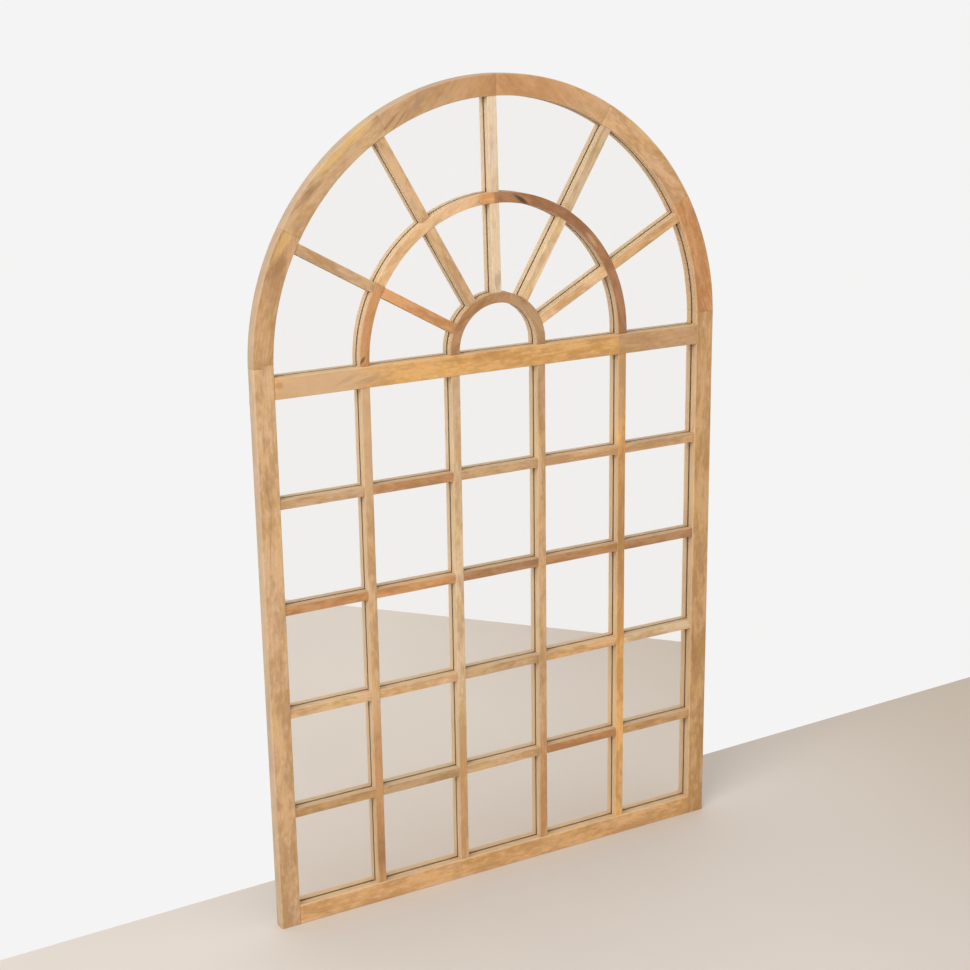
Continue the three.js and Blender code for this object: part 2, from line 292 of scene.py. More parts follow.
class SharedEffects:
    """Node groups that several finishes use, each built once."""

    def __init__(self) -> None:
        """Builds the groups."""
        self.timber = self._timber()
        self.mark = self._mark()
        self.edge_lightening = self._edge_lightening()

    @staticmethod
    def _timber() -> bpy.types.NodeTree:
        """Figure, growth lines, dark streaks, flecks and pores of one board.

        The board's own place has X along the grain. Noise stretched along X gives the broad
        patches and the mottle, rings about the X axis give the growth lines, and noise cut off
        above a level gives streaks, flecks and pores.

        Returns:
            The group, with outputs Color, Roughness and Height.
        """
        inputs = {"Place": VECTOR, "Pale": COLOUR, "Deep": COLOUR, "Streak": COLOUR}
        inputs |= dict.fromkeys(("Figure", "Growth", "Streaks", "Flecks"), NUMBER)
        wire = GroupWiring("timber_figure", inputs, {"Color": COLOUR, "Roughness": NUMBER, "Height": NUMBER})
        given = wire.given
        place = wire.vector("MULTIPLY", given["Place"], PER_METRE)
        wander = wire.noise(place, (0.005, 0.015, 0.015))
        drift = wire.times(wire.number("SUBTRACT", wander, 0.5), 34.0)
        sway = wire.node("ShaderNodeCombineXYZ", {"Y": drift, "Z": drift}).outputs[0]
        bent = wire.vector("ADD", place, sway)

        broad = wire.noise(bent, (0.008, 0.024, 0.03))
        mottle = wire.noise(bent, (0.05, 0.1, 0.13), 3.0)
        fibre = wire.noise(bent, (0.06, 0.7, 0.9), 3.0)
        figure = wire.number("MULTIPLY_ADD", broad, 0.52, wire.times(mottle, 0.38))
        figure = wire.number("MULTIPLY_ADD", fibre, 0.1, figure)
        spread = wire.times(wire.number("SUBTRACT", figure, 0.5), given["Figure"])
        pale_share = wire.span(wire.number("ADD", spread, 0.5), 0.36, 0.64)
        colour = wire.mix(pale_share, given["Deep"], given["Pale"])
        warmth = wire.span(wire.noise(bent, (0.014, 0.05, 0.06), 1.0), 0.36, 0.64)
        colour = wire.mix(1.0, colour, wire.mix(warmth, COOL_PATCH, WARM_PATCH), "MULTIPLY")

        inputs = {"Scale": 0.045, "Distortion": 5.0, "Detail": 2.0, "Detail Scale": 0.12}
        inputs["Vector"] = wire.vector("MULTIPLY", bent, (0.06, 1.0, 1.0))
        rings = wire.node(
            "ShaderNodeTexWave", inputs, wave_type="RINGS", rings_direction="X", wave_profile="SIN"
        )
        late = wire.times(wire.span(rings.outputs["Fac"], 0.55, 1.0), wire.span(mottle, 0.35, 0.6))
        late = wire.times(late, given["Growth"])
        vein = wire.span(wire.noise(bent, (0.008, 0.05, 0.085), 3.0), 0.56, 0.74)
        fleck = wire.span(wire.noise(bent, (0.1, 0.42, 0.5)), 0.58, 0.74)
        fleck = wire.times(fleck, wire.span(broad, 0.38, 0.6, 1.0, 0.35))
        pore = wire.span(wire.noise(bent, (0.19, 2.1, 2.3), 1.0), 0.6, 0.7)
        colour = wire.mix(late, colour, given["Streak"])
        for mask, strength in ((vein, given["Streaks"]), (fleck, given["Flecks"]), (pore, 0.4)):
            colour = wire.mix(wire.times(mask, strength), colour, given["Streak"])
        colour = wire.mix(1.0, colour, wire.span(fibre, 0.3, 0.7, 0.96, 1.035), "MULTIPLY")

        rough = wire.number("MULTIPLY_ADD", pore, 0.18, wire.number("MULTIPLY_ADD", fibre, 0.16, 0.44))
        height = wire.number("MULTIPLY_ADD", fibre, 0.5, wire.times(pore, -0.8))
        height = wire.number("MULTIPLY_ADD", late, -0.35, height)
        return wire.close({"Color": colour, "Roughness": rough, "Height": height})

    @staticmethod
    def _mark() -> bpy.types.NodeTree:
        """A stain, streak or knot with a soft ragged edge.

        The local place is one at the rim of the mark's oval. Noise moves the rim, and the mask
        falls from one inside to nothing past it.

        Returns:
            The group, with the output Mask.
        """
        inputs = {"Local": VECTOR, "Ragged": NUMBER, "Strength": NUMBER}
        wire = GroupWiring("timber_mark", inputs, {"Mask": NUMBER})
        local = wire.given["Local"]
        flat = wire.vector("MULTIPLY", local, (1.0, 0.0, 1.0))
        length = wire.node("ShaderNodeVectorMath", {0: flat}, operation="LENGTH").outputs["Value"]
        ripple = wire.number("SUBTRACT", wire.noise(local, (1.3, 0.4, 2.6), 3.0), 0.5)
        ripple = wire.times(ripple, wire.given["Ragged"])
        rim = wire.number("ADD", length, wire.times(ripple, 2.4))
        return wire.close({"Mask": wire.times(wire.span(rim, 0.35, 1.0, 1.0, 0.0), wire.given["Strength"])})

    @staticmethod
    def _edge_lightening() -> bpy.types.NodeTree:
        """Lighter edges: a colour gets lighter where an edge attribute is high and noise lets it. On the
        timber this is a painted highlight on the eased edges.

        Returns:
            The group, with the output Color.
        """
        inputs = {"Color": COLOUR, "EdgeLift": COLOUR, "Edge": NUMBER, "Place": VECTOR, "Amount": NUMBER}
        wire = GroupWiring("edge_lightening", inputs, {"Color": COLOUR})
        given = wire.given
        place = wire.vector("MULTIPLY", given["Place"], PER_METRE)
        patch = wire.span(wire.noise(place, (0.04, 0.2, 0.04)), 0.35, 0.65, 0.35, 1.0)
        share = wire.times(wire.times(patch, given["Edge"]), given["Amount"])
        return wire.close({"Color": wire.mix(share, given["Color"], given["EdgeLift"])})

    def lighten_edges(self, wire: Wiring, colour: Socket, place: Socket, bright: Colour, amount: float) -> Socket:
        """Lays lighter edges over a colour; on the timber they are a painted highlight.

        Args:
            wire: The material's wiring.
            colour: The colour so far.
            place: Object coordinates.
            bright: The colour of a lightened edge.
            amount: How far edges are lightened.

        Returns:
            The colour with rubbed edges.
        """
        inputs = {"Color": colour, "EdgeLift": bright, "Place": place, "Amount": amount}
        inputs["Edge"] = wire.attribute("edge")
        return wire.node("ShaderNodeGroup", inputs, node_tree=self.edge_lightening).outputs["Color"]


# ---------------------------------------------------------------------------
# Looks of the boards
# ---------------------------------------------------------------------------


class Tone(Enum):
    """Tones of the boards: the wood's middle colour and the material slot."""

    HONEY = ("cca67c", "wood_honey")
    GOLDEN = ("d0a472", "wood_golden")
    AMBER = ("d6a466", "wood_golden")
    SAND = ("ceb08a", "wood_tan")
    CREAM = ("e2c8aa", "wood_cream")
    TAN = ("c0986e", "wood_tan")
    RUSSET = ("c89260", "wood_russet")
    UMBER = ("b6885e", "wood_umber")
    PLUM = ("a47450", "wood_plum")

    @property
    def colour(self) -> Colour:
        """The wood's middle colour."""
        return linear(self.value[0])

    @property
    def slot(self) -> str:
        """Name of the record's material slot for this tone."""
        return self.value[1]


class Depth(Enum):
    """How light a board is within its tone."""

    DARK = 0.78
    DEEP = 0.88
    EVEN = 0.97
    LIGHT = 1.06
    PALE = 1.16


class Stain(Enum):
    """Colours of placed marks in the timber."""

    YELLOW = "e6bc74"
    ORANGE = "bc7c44"
    BROWN = "8d6440"
    SMOKE = "a08468"
    BLACK = "3b2b22"
    PALE = "d4ae86"


@dataclass(frozen=True)
class Mark:
    """One placed mark in a board: an oval with its centre, its turn and its half sizes."""

    stain: Stain
    across: float
    height: float
    turn: float
    length: float
    breadth: float
    strength: float
    ragged: float


@dataclass(frozen=True)
class Look:
    """How the timber of one board looks."""

    tone: Tone
    depth: Depth
    seed: float
    figure: float = 1.4
    growth: float = 0.15
    streaks: float = 0.25
    flecks: float = 0.3
    turn: float = 0.0
    marks: tuple[Mark, ...] = ()


UPRIGHT_MARKS = {
    "upright_bar_1": (
        Mark(Stain.ORANGE, -281.0, 210.0, 90.0, 300.0, 26.0, 0.5, 0.5),
        Mark(Stain.BROWN, -281.0, 100.0, 90.0, 70.0, 14.0, 0.4, 0.6),
        Mark(Stain.PALE, -281.0, 980.0, 90.0, 230.0, 30.0, 0.6, 0.3),
    ),
    "upright_bar_2": (
        Mark(Stain.ORANGE, -94.0, 150.0, 90.0, 260.0, 26.0, 0.4, 0.5),
        Mark(Stain.BROWN, -94.0, 1000.0, 90.0, 110.0, 26.0, 0.25, 0.5),
    ),
    "upright_bar_3": (
        Mark(Stain.ORANGE, 94.0, 150.0, 90.0, 210.0, 26.0, 0.35, 0.5),
        Mark(Stain.BROWN, 94.0, 1000.0, 90.0, 120.0, 26.0, 0.3, 0.5),
    ),
    "upright_bar_4": (
        Mark(Stain.BROWN, 281.0, 700.0, 90.0, 250.0, 26.0, 0.5, 0.5),
        Mark(Stain.SMOKE, 281.0, 990.0, 90.0, 110.0, 30.0, 0.5, 0.5),
    ),
}
HEAD_MARKS = {
    "arch_segment_1": (
        Mark(Stain.YELLOW, -424.0, 1336.0, 55.0, 62.0, 12.0, 0.5, 0.5),
        Mark(Stain.BROWN, -447.0, 1282.0, 40.0, 40.0, 11.0, 0.35, 0.7),
    ),
    "arch_segment_2": (
        Mark(Stain.YELLOW, -283.0, 1508.0, 39.0, 62.0, 10.0, 0.9, 0.5),
        Mark(Stain.YELLOW, -340.0, 1458.0, 38.0, 52.0, 7.0, 0.8, 0.6),
        Mark(Stain.ORANGE, -298.0, 1504.0, 41.0, 34.0, 3.5, 0.6, 0.7),
        Mark(Stain.BROWN, -380.0, 1408.0, 48.0, 40.0, 8.0, 0.35, 0.8),
    ),
    "arch_segment_3": (
        Mark(Stain.ORANGE, -5.0, 1580.0, 0.0, 120.0, 60.0, 0.3, 0.4),
        Mark(Stain.PALE, -205.0, 1556.0, 24.0, 60.0, 9.0, 0.6, 0.6),
        Mark(Stain.BROWN, -216.0, 1524.0, 46.0, 46.0, 3.0, 0.5, 0.8),
        Mark(Stain.BROWN, -196.0, 1528.0, 50.0, 44.0, 2.5, 0.5, 0.8),
        Mark(Stain.SMOKE, -170.0, 1546.0, 44.0, 40.0, 8.0, 0.5, 0.8),
    ),
    "arch_segment_4": (Mark(Stain.ORANGE, 60.0, 1572.0, -8.0, 170.0, 60.0, 0.35, 0.4),),
    "arch_segment_5": (Mark(Stain.BROWN, 352.0, 1396.0, -52.0, 20.0, 9.0, 0.4, 0.8),),
    "arch_segment_6": (Mark(Stain.ORANGE, 470.0, 1150.0, 80.0, 26.0, 12.0, 0.6, 0.7),),
    "transom_long": (
        Mark(Stain.PALE, -368.0, 1068.0, 2.0, 160.0, 46.0, 0.85, 0.4),
        Mark(Stain.ORANGE, -452.0, 1074.0, 10.0, 13.0, 8.0, 0.6, 0.6),
        Mark(Stain.SMOKE, -318.0, 1070.0, 22.0, 32.0, 5.0, 0.35, 1.4),
        Mark(Stain.SMOKE, -275.0, 1064.0, 10.0, 40.0, 6.0, 0.35, 1.4),
    ),
    "fan_outer_arc_1": (Mark(Stain.BLACK, -286.0, 1100.0, 55.0, 13.0, 4.0, 0.7, 0.6),),
    "fan_outer_arc_4": (
        Mark(Stain.BLACK, 52.0, 1368.0, -32.0, 26.0, 5.0, 0.85, 0.5),
        Mark(Stain.PALE, 209.0, 1280.0, -50.0, 26.0, 5.0, 0.5, 0.5),
        Mark(Stain.BROWN, 246.0, 1248.0, -55.0, 12.0, 6.0, 0.5, 0.6),
    ),
    "fan_outer_arc_5": (Mark(Stain.BROWN, 262.0, 1188.0, -75.0, 16.0, 6.0, 0.5, 0.6),),
    "fan_inner_spoke_3": (Mark(Stain.BROWN, -1.0, 1220.0, 90.0, 26.0, 9.0, 0.4, 0.9),),
}
MARKS = UPRIGHT_MARKS | HEAD_MARKS

CALM = {"figure": 1.2, "streaks": 0.15}
BOARD_TONES = {
    "stile_left": (Tone.HONEY, Depth.EVEN, 0.3, {"streaks": 0.6, "flecks": 0.45}),
    "stile_right": (Tone.GOLDEN, Depth.DEEP, 1.7, {"streaks": 0.7, "flecks": 0.5}),
    "bottom_rail": (Tone.GOLDEN, Depth.LIGHT, 2.9, {}),
    "arch_segment_1": (Tone.TAN, Depth.EVEN, 4.1, {"growth": 0.3, "turn": 4.0}),
    "arch_segment_2": (Tone.HONEY, Depth.DEEP, 5.2, {"turn": -6.0}),
    "arch_segment_3": (Tone.TAN, Depth.EVEN, 6.4, {"figure": 0.9, "growth": 0.1, "turn": 31.0}),
    "arch_segment_4": (Tone.TAN, Depth.LIGHT, 7.7, {"figure": 1.0, "growth": 0.1, "turn": -25.0}),
    "arch_segment_5": (Tone.TAN, Depth.PALE, 8.3, {"turn": 8.0}),
    "arch_segment_6": (Tone.RUSSET, Depth.EVEN, 9.6, {"growth": 0.3, "streaks": 0.4}),
    "transom_long": (Tone.AMBER, Depth.EVEN, 1.1, {"turn": 2.0}),
    "transom_short": (Tone.TAN, Depth.EVEN, 3.3, {"figure": 0.8, "streaks": 0.15}),
    "upright_bar_1": (Tone.HONEY, Depth.EVEN, 0.7, {}),
    "upright_bar_2": (Tone.SAND, Depth.LIGHT, 1.9, {}),
    "upright_bar_3": (Tone.HONEY, Depth.EVEN, 2.4, {}),
    "upright_bar_4": (Tone.AMBER, Depth.LIGHT, 3.8, {}),
    "fan_outer_arc_1": (Tone.RUSSET, Depth.DEEP, 0.9, {}),
    "fan_outer_arc_2": (Tone.HONEY, Depth.PALE, 2.1, {"figure": 1.1, "streaks": 0.15}),
    "fan_outer_arc_3": (Tone.RUSSET, Depth.PALE, 3.1, {"figure": 0.9, "streaks": 0.15}),
    "fan_outer_arc_4": (Tone.PLUM, Depth.EVEN, 4.6, {}),
    "fan_outer_arc_5": (Tone.PLUM, Depth.EVEN, 5.5, {}),
    "fan_inner_arc_1": (Tone.UMBER, Depth.DEEP, 6.1, {}),
    "fan_inner_arc_2": (Tone.TAN, Depth.DARK, 7.4, {}),
    "fan_outer_spoke_1": (Tone.HONEY, Depth.DEEP, 8.1, {"flecks": 0.4}),
    "fan_outer_spoke_2": (Tone.HONEY, Depth.EVEN, 9.2, {}),
    "fan_outer_spoke_3": (Tone.CREAM, Depth.DEEP, 10.3, CALM),
    "fan_outer_spoke_4": (Tone.SAND, Depth.DEEP, 11.4, {}),
    "fan_outer_spoke_5": (Tone.GOLDEN, Depth.EVEN, 12.5, {}),
    "fan_inner_spoke_1": (Tone.RUSSET, Depth.LIGHT, 13.6, {}),
    "fan_inner_spoke_2": (Tone.HONEY, Depth.EVEN, 14.7, {}),
    "fan_inner_spoke_3": (Tone.CREAM, Depth.DEEP, 15.8, CALM),
    "fan_inner_spoke_4": (Tone.SAND, Depth.PALE, 16.9, {}),
    "fan_inner_spoke_5": (Tone.HONEY, Depth.PALE, 18.0, {}),
}
LOOKS = {
    name: Look(tone, depth, seed, marks=MARKS.get(name, ()), **strengths)
    for name, (tone, depth, seed, strengths) in BOARD_TONES.items()
}

FIRST_SEED = 0.37
SEED_STEP = 1.13
CROSS_STREAKS = 0.35
ROW_TONES = (
    (Tone.HONEY, Tone.UMBER, Tone.HONEY, Tone.TAN, Tone.TAN),
    (Tone.RUSSET, Tone.RUSSET, Tone.UMBER, Tone.RUSSET, Tone.UMBER),
    (Tone.HONEY, Tone.HONEY, Tone.HONEY, Tone.GOLDEN, Tone.SAND),
    (Tone.GOLDEN, Tone.HONEY, Tone.HONEY, Tone.RUSSET, Tone.GOLDEN),
)
ROW_DEPTHS = (
    (Depth.DEEP, Depth.LIGHT, Depth.DEEP, Depth.PALE, Depth.LIGHT),
    (Depth.DEEP, Depth.EVEN, Depth.DEEP, Depth.DARK, Depth.DEEP),
    (Depth.LIGHT, Depth.PALE, Depth.DEEP, Depth.LIGHT, Depth.LIGHT),
    (Depth.DARK, Depth.DARK, Depth.EVEN, Depth.DEEP, Depth.DEEP),
)
for row, (tones, depths) in enumerate(zip(ROW_TONES, ROW_DEPTHS)):
    for column, (tone, depth) in enumerate(zip(tones, depths)):
        seed = FIRST_SEED + SEED_STEP * (len(tones) * row + column)
        LOOKS[f"cross_bar_r{row + 1}_c{column + 1}"] = Look(tone, depth, seed, streaks=CROSS_STREAKS)


# ---------------------------------------------------------------------------
# Finishes
# ---------------------------------------------------------------------------


@dataclass(frozen=True)
class TimberFinish:
    """Sanded, clear-sealed hardwood, with painted light: its eased edges carry a painted highlight, and its
    sides and back are painted paler for the light they would catch.

    The mesh attributes say where: edge is one on eased corners; a second holds the share of a pale
    painted-light colour on the sides and back, and a third that of a greyer painted sheen on the outer side
    of the surround.
    """

    effects: SharedEffects
    bump_depth: float = 0.00025
    bump_strength: float = 0.6
    gloss: float = 0.35
    # Painted highlight on eased edges: how far it goes, and how much lighter than the pale wood it is.
    edge_lift: float = 0.22
    edge_lift_light: float = 1.15
    # Painted light: the pale colour laid on sides and backs.
    flank_light_colour: str = "ecd0a8"
    # Painted sheen: the greyer colour laid on the surround's outer side.
    outer_sheen_colour: str = "b9a48c"
    mark_depth: float = 20.0

    def material(self, name: str, look: Look, middle: Spot, run: float) -> bpy.types.Material:
        """Makes the material of one board.

        The board's own frame has X along the grain. Seen from the board's middle it starts
        317 (1 + seed) mm back along the grain, 14 + 23 sin(2.3 seed) mm in front and
        60 + 37 sin(5.1 seed + 1) mm below, so that no two boards show the same timber.

        Args:
            name: The board's name.
            look: Tone and strengths of the timber.
            middle: The board's middle, across and up, in millimetres.
            run: Direction of the board in its plane, in degrees from the X axis.

        Returns:
            The new material.
        """
        wire = MaterialWiring(f"timber_{name}")
        place = wire.place()
        turn = math.radians(run + look.turn)
        along = np.array([math.cos(turn), 0.0, math.sin(turn)])
        up = np.array([-math.sin(turn), 0.0, math.cos(turn)])
        inward = np.array([0.0, 1.0, 0.0])
        start = np.array([middle[0], 0.0, middle[1]]) - along * 317.0 * (1.0 + look.seed)
        start -= inward * (14.0 + 23.0 * math.sin(look.seed * 2.3))
        start -= up * (60.0 + 37.0 * math.sin(look.seed * 5.1 + 1.0))
        base = shaded(look.tone.colour, look.depth.value)
        pale = tinted(base, PALE_WOOD)
        inputs = {"Place": wire.own_place(place, start, turn), "Pale": pale}
        inputs |= {"Deep": tinted(base, DEEP_WOOD), "Streak": tinted(base, STREAK_WOOD)}
        inputs |= {"Figure": look.figure, "Growth": look.growth}
        inputs |= {"Streaks": look.streaks, "Flecks": look.flecks}
        timber = wire.node("ShaderNodeGroup", inputs, node_tree=self.effects.timber).outputs
        colour = timber["Color"]
        for mark in look.marks:
            colour = self._marked(wire, place, colour, mark, look.depth.value)
        # Painted light: sides and backs mixed towards a pale colour, and the surround's outer side towards a
        # greyer painted sheen.
        for attribute, code in (("painted_flank_light", self.flank_light_colour), ("painted_outer_sheen", self.outer_sheen_colour)):
            colour = wire.mix(wire.attribute(attribute), colour, linear(code))
        # Painted highlight: eased edges lightened towards a paler wood colour.
        bright = shaded(pale, self.edge_lift_light)
        results = {"Base Color": self.effects.lighten_edges(wire, colour, place, bright, self.edge_lift)}
        results |= {"Roughness": timber["Roughness"], "Specular IOR Level": self.gloss}
        results["Normal"] = wire.bump(timber["Height"], self.bump_strength, self.bump_depth)
        return wire.close(results)

    def _marked(self, wire: Wiring, place: Socket, colour: Socket, mark: Mark, shade: float) -> Socket:
        """Lays one mark over a colour.

        Args:
            wire: The material's wiring.
            place: Object coordinates.
            colour: The timber so far.
            mark: The mark to lay.
            shade: How light the board is.

        Returns:
            The colour with the mark.
        """
        size = (mark.length, self.mark_depth, mark.breadth)
        local = wire.own_place(place, (mark.across, 0.0, mark.height), math.radians(mark.turn), size)
        inputs = {"Local": local, "Ragged": mark.ragged, "Strength": mark.strength}
        mask = wire.node("ShaderNodeGroup", inputs, node_tree=self.effects.mark).outputs["Mask"]
        return wire.mix(mask, colour, shaded(linear(mark.stain.value), shade))


@dataclass(frozen=True)
class MirrorGlass:
    """Clear float glass with silver on its back, so that a reflection starts a glass thickness deep."""

    body: Colour = (0.995, 1.0, 0.996, 1.0)
    silver: Colour = (0.968, 0.955, 0.94, 1.0)
    film: float = 0.01
    index: float = 1.5

    def clear(self) -> bpy.types.Material:
        """Makes the material of the front face and the edges: clear, smooth glass."""
        results = {"Base Color": self.body, "Roughness": 0.0, "IOR": self.index, "Transmission Weight": 1.0}
        return MaterialWiring("float_glass").close(results)

    def silvered(self) -> bpy.types.Material:
        """Makes the material of the back face: bright silver with a very thin uneven film.

        Returns:
            The new material.
        """
        wire = MaterialWiring("silver_coat")
        rough = wire.span(wire.noise(wire.place(), (5.0, 5.0, 5.0), 3.0), 0.5, 0.8, 0.0, self.film)
        return wire.close({"Base Color": self.silver, "Metallic": 1.0, "Roughness": rough})


@dataclass(frozen=True)
class PressedBoard:
    """Brown hardboard with short pressed fibres."""

    pale: str = "9a7955"
    deep: str = "7a5c40"
    bump_depth: float = 0.0003
    bump_strength: float = 0.5

    def material(self) -> bpy.types.Material:
        """Makes the material: two browns mixed by fibre noise, with a rough dull face.

        Returns:
            The new material.
        """
        wire = MaterialWiring("pressed_board")
        place = wire.vector("MULTIPLY", wire.place(), PER_METRE)
        fibre = wire.noise(place, (0.35, 0.5, 0.9), 4.0)
        cloud = wire.noise(place, (0.03, 0.05, 0.03), 3.0)
        share = wire.number("MULTIPLY_ADD", cloud, 0.35, wire.times(fibre, 0.65))
        colour = wire.mix(wire.span(share, 0.36, 0.64), linear(self.deep), linear(self.pale))
        results = {"Base Color": colour, "Roughness": wire.span(fibre, 0.3, 0.7, 0.72, 0.88)}
        results["Normal"] = wire.bump(fibre, self.bump_strength, self.bump_depth)
        return wire.close(results)


@dataclass(frozen=True)
class PlatedSteel:
    """Zinc-plated steel, spangled and a little dull, worn bright at its edges."""

    effects: SharedEffects
    name: str
    pale: str = "c9ccd0"
    deep: str = "9ca1a8"
    rough: float = 0.3
    more_rough: float = 0.16
    bright: str = "e6e7e9"
    edge_lift: float = 0.6

    def material(self) -> bpy.types.Material:
        """Makes the material: two greys mixed by patches, with a patchy roughness.

        Returns:
            The new material.
        """
        wire = MaterialWiring(self.name)
        place = wire.place()
        patch = wire.noise(wire.vector("MULTIPLY", place, PER_METRE), (0.45, 0.45, 0.45), 3.0)
        colour = wire.mix(wire.span(patch, 0.35, 0.65), linear(self.deep), linear(self.pale))
        colour = self.effects.lighten_edges(wire, colour, place, linear(self.bright), self.edge_lift)
        rough = wire.span(patch, 0.35, 0.65, self.rough, self.rough + self.more_rough)
        return wire.close({"Base Color": colour, "Metallic": 1.0, "Roughness": rough})


# ---------------------------------------------------------------------------
# Surfaces
# ---------------------------------------------------------------------------


@dataclass(frozen=True)
class Outline:
    """A closed section in millimetres: corners, how easing pulls them, and what lies there.

    Points are corner + ease share * pull. Edge is one on eased corners, and rabbet is one on
    the steps cut for glass and backing.
    """

    corner: Array
    pull: Array
    edge: Array
    rabbet: Array

    def inward(self) -> Array:
        """Finds the way into the section, square to the line through each point's neighbours.

        Returns:
            A unit direction for each point.
        """
        points = self.corner + self.pull
        after = np.roll(points, -1, axis=0)
        line = after - np.roll(points, 1, axis=0)
        turned = np.stack([-line[:, 1], line[:, 0]], axis=1)
        turned /= np.maximum(np.linalg.norm(turned, axis=1, keepdims=True), 1e-9)
        area = np.sum(points[:, 0] * after[:, 1] - after[:, 0] * points[:, 1])
        return turned * np.sign(area)


@dataclass(frozen=True)
class Corner:
    """One corner of a section: its place, its ease radius, and whether a rabbet lies there."""

    across: float
    depth: float
    ease: float = 0.0
    rabbet: float = 0.0


def eased_outline(corners: Sequence[Corner], steps: int = 4, support: float = 0.5) -> Outline:
    """Rounds the corners of a closed section.

    With u and v the directions from a corner p to its neighbours, an eased corner becomes
    p + r * (u * (1 - sin f) + v * (1 - cos f)) for f from nothing to a quarter turn, with a
    support point on the flat at r + support on either side. A sharp corner stays one point.

    Args:
        corners: The corners in order round the section.
        steps: Facets of an eased corner.
        support: How far past the ease the support points stand, in millimetres.

    Returns:
        The outline.
    """
    place = np.array([[c.across, c.depth] for c in corners], float)
    before = np.roll(place, 1, axis=0) - place
    after = np.roll(place, -1, axis=0) - place
    before /= np.linalg.norm(before, axis=1, keepdims=True)
    after /= np.linalg.norm(after, axis=1, keepdims=True)
    turn = np.linspace(0.0, math.pi / 2, steps + 1)
    parts = []
    for k, corner in enumerate(corners):
        pull, edge = np.zeros((1, 2)), np.zeros(1)
        if corner.ease > 0.0:
            bend = np.outer(1.0 - np.sin(turn), before[k]) + np.outer(1.0 - np.cos(turn), after[k])
            beside = 1.0 + support / corner.ease
            pull = np.vstack([before[k] * beside, bend, after[k] * beside]) * corner.ease
            edge = np.concatenate([[0.0], np.ones(steps + 1), [0.0]])
        count = len(pull)
        parts.append((np.tile(place[k], (count, 1)), pull, edge, np.full(count, corner.rabbet)))
    return Outline(*(np.concatenate(column) for column in zip(*parts)))


@dataclass(frozen=True)
class Stops:
    """Stations along a board: share of its length, distance past that, and how far it narrows."""

    share: Array
    past: Array
    inset: Array

    @staticmethod
    def along(length: float, spacing: float, ease: float, breaks: Sequence[float] = ()) -> "Stops":
        """Spreads stations along a board whose ends are eased by a quarter round.

        Args:
            length: The board's length.
            spacing: The most between two stations.
            ease: The ease of its ends.
            breaks: Further stations, as shares of the length.

        Returns:
            The stations.
        """
        count = max(2, math.ceil(length / spacing))
        inner = np.unique(np.concatenate([np.linspace(0.0, 1.0, count + 1)[1:-1], np.array(breaks, float)]))
        end = np.array([0.0, 0.3, 1.0]) * ease
        narrow = np.array([1.0, 0.3, 0.0]) * ease
        nothing = np.zeros(len(inner))
        return Stops(
            np.concatenate([np.zeros(3), inner, np.ones(3)]),
            np.concatenate([end, nothing, -end[::-1]]),
            np.concatenate([narrow, nothing, narrow[::-1]]),
        )


def level(value: float) -> Reach:
    """An end that lies at the same distance, or angle, all across the board."""
    return lambda across: np.full_like(across, value)


def stepped(inner: float, outer: float, half: float) -> Reach:
    """An end with a step: one distance up to the middle of the face, and another past it."""
    return lambda across: np.where(across < half, inner, outer)


@dataclass(frozen=True)
class Path(ABC):
    """A path in the mirror's plane, with ends that may differ across the board."""

    origin: Spot
    begin: Reach
    finish: Reach

    @abstractmethod
    def past(self, distance: Array, across: Array, way: Array) -> Array:
        """A distance past a station, as a step along the path."""

    @abstractmethod
    def spot(self, across: Array, run: Array) -> tuple[Array, Array]:
        """Where a place across the face and a place along the path lie, across and up."""

    @abstractmethod
    def heading(self, run: float) -> float:
        """Direction of the path at a place along it, in degrees from the X axis."""

    def points(self, stops: Stops, across: Array, depth: Array) -> Array:
        """Carries section points along the path.

        Args:
            stops: Stations, as many as the rows of the section arrays.
            across: Places across the face, stations by section points.
            depth: Places into the depth, the same shape.

        Returns:
            Points in the row frame, in millimetres.
        """
        start, end = self.begin(across), self.finish(across)
        past = self.past(stops.past[:, None], across, end - start)
        x, z = self.spot(across, start + (end - start) * stops.share[:, None] + past)
        return np.stack([x, depth + FRONT_PLANE, z], axis=-1)


@dataclass(frozen=True)
class StraightPath(Path):
    """A straight path: origin + along * t + square * a, with t a distance."""

    angle: float
    flip: float = 1.0

    def past(self, distance: Array, across: Array, way: Array) -> Array:
        """A distance past a station, as a step along the path."""
        return distance

    def spot(self, across: Array, run: Array) -> tuple[Array, Array]:
        """Finds a place on the path.

        Args:
            across: Place across the face.
            run: Distance along the path.

        Returns:
            Where it lies, across and up.
        """
        cosine, sine = math.cos(math.radians(self.angle)), math.sin(math.radians(self.angle))
        side = across * self.flip
        return self.origin[0] + run * cosine - side * sine, self.origin[1] + run * sine + side * cosine

    def heading(self, run: float) -> float:
        """Direction of the path, in degrees from the X axis."""
        return self.angle


@dataclass(frozen=True)
class BentPath(Path):
    """A round path: origin + (radius + a) * direction of the angle, in radians."""

    radius: float

    def past(self, distance: Array, across: Array, way: Array) -> Array:
        """A distance past a station, as a step in angle towards the path's end."""
        return np.sign(np.mean(way)) * distance / (self.radius + across)

    def spot(self, across: Array, angle: Array) -> tuple[Array, Array]:
        """Where a place across the face and an angle lie, across and up."""
        radius = self.radius + across
        return self.origin[0] + radius * np.cos(angle), self.origin[1] + radius * np.sin(angle)

    def heading(self, angle: float) -> float:
        """Direction of the chord about an angle, in degrees from the X axis."""
        return math.degrees(angle) - 90.0


def new_object(name: str, data: bpy.types.ID) -> bpy.types.Object:
    """Puts a mesh, a light or a camera into the scene.

    Args:
        name: The object's name.
        data: The mesh, light or camera.

    Returns:
        The new object.
    """
    made = bpy.data.objects.new(name, data)
    bpy.context.scene.collection.objects.link(made)
    return made


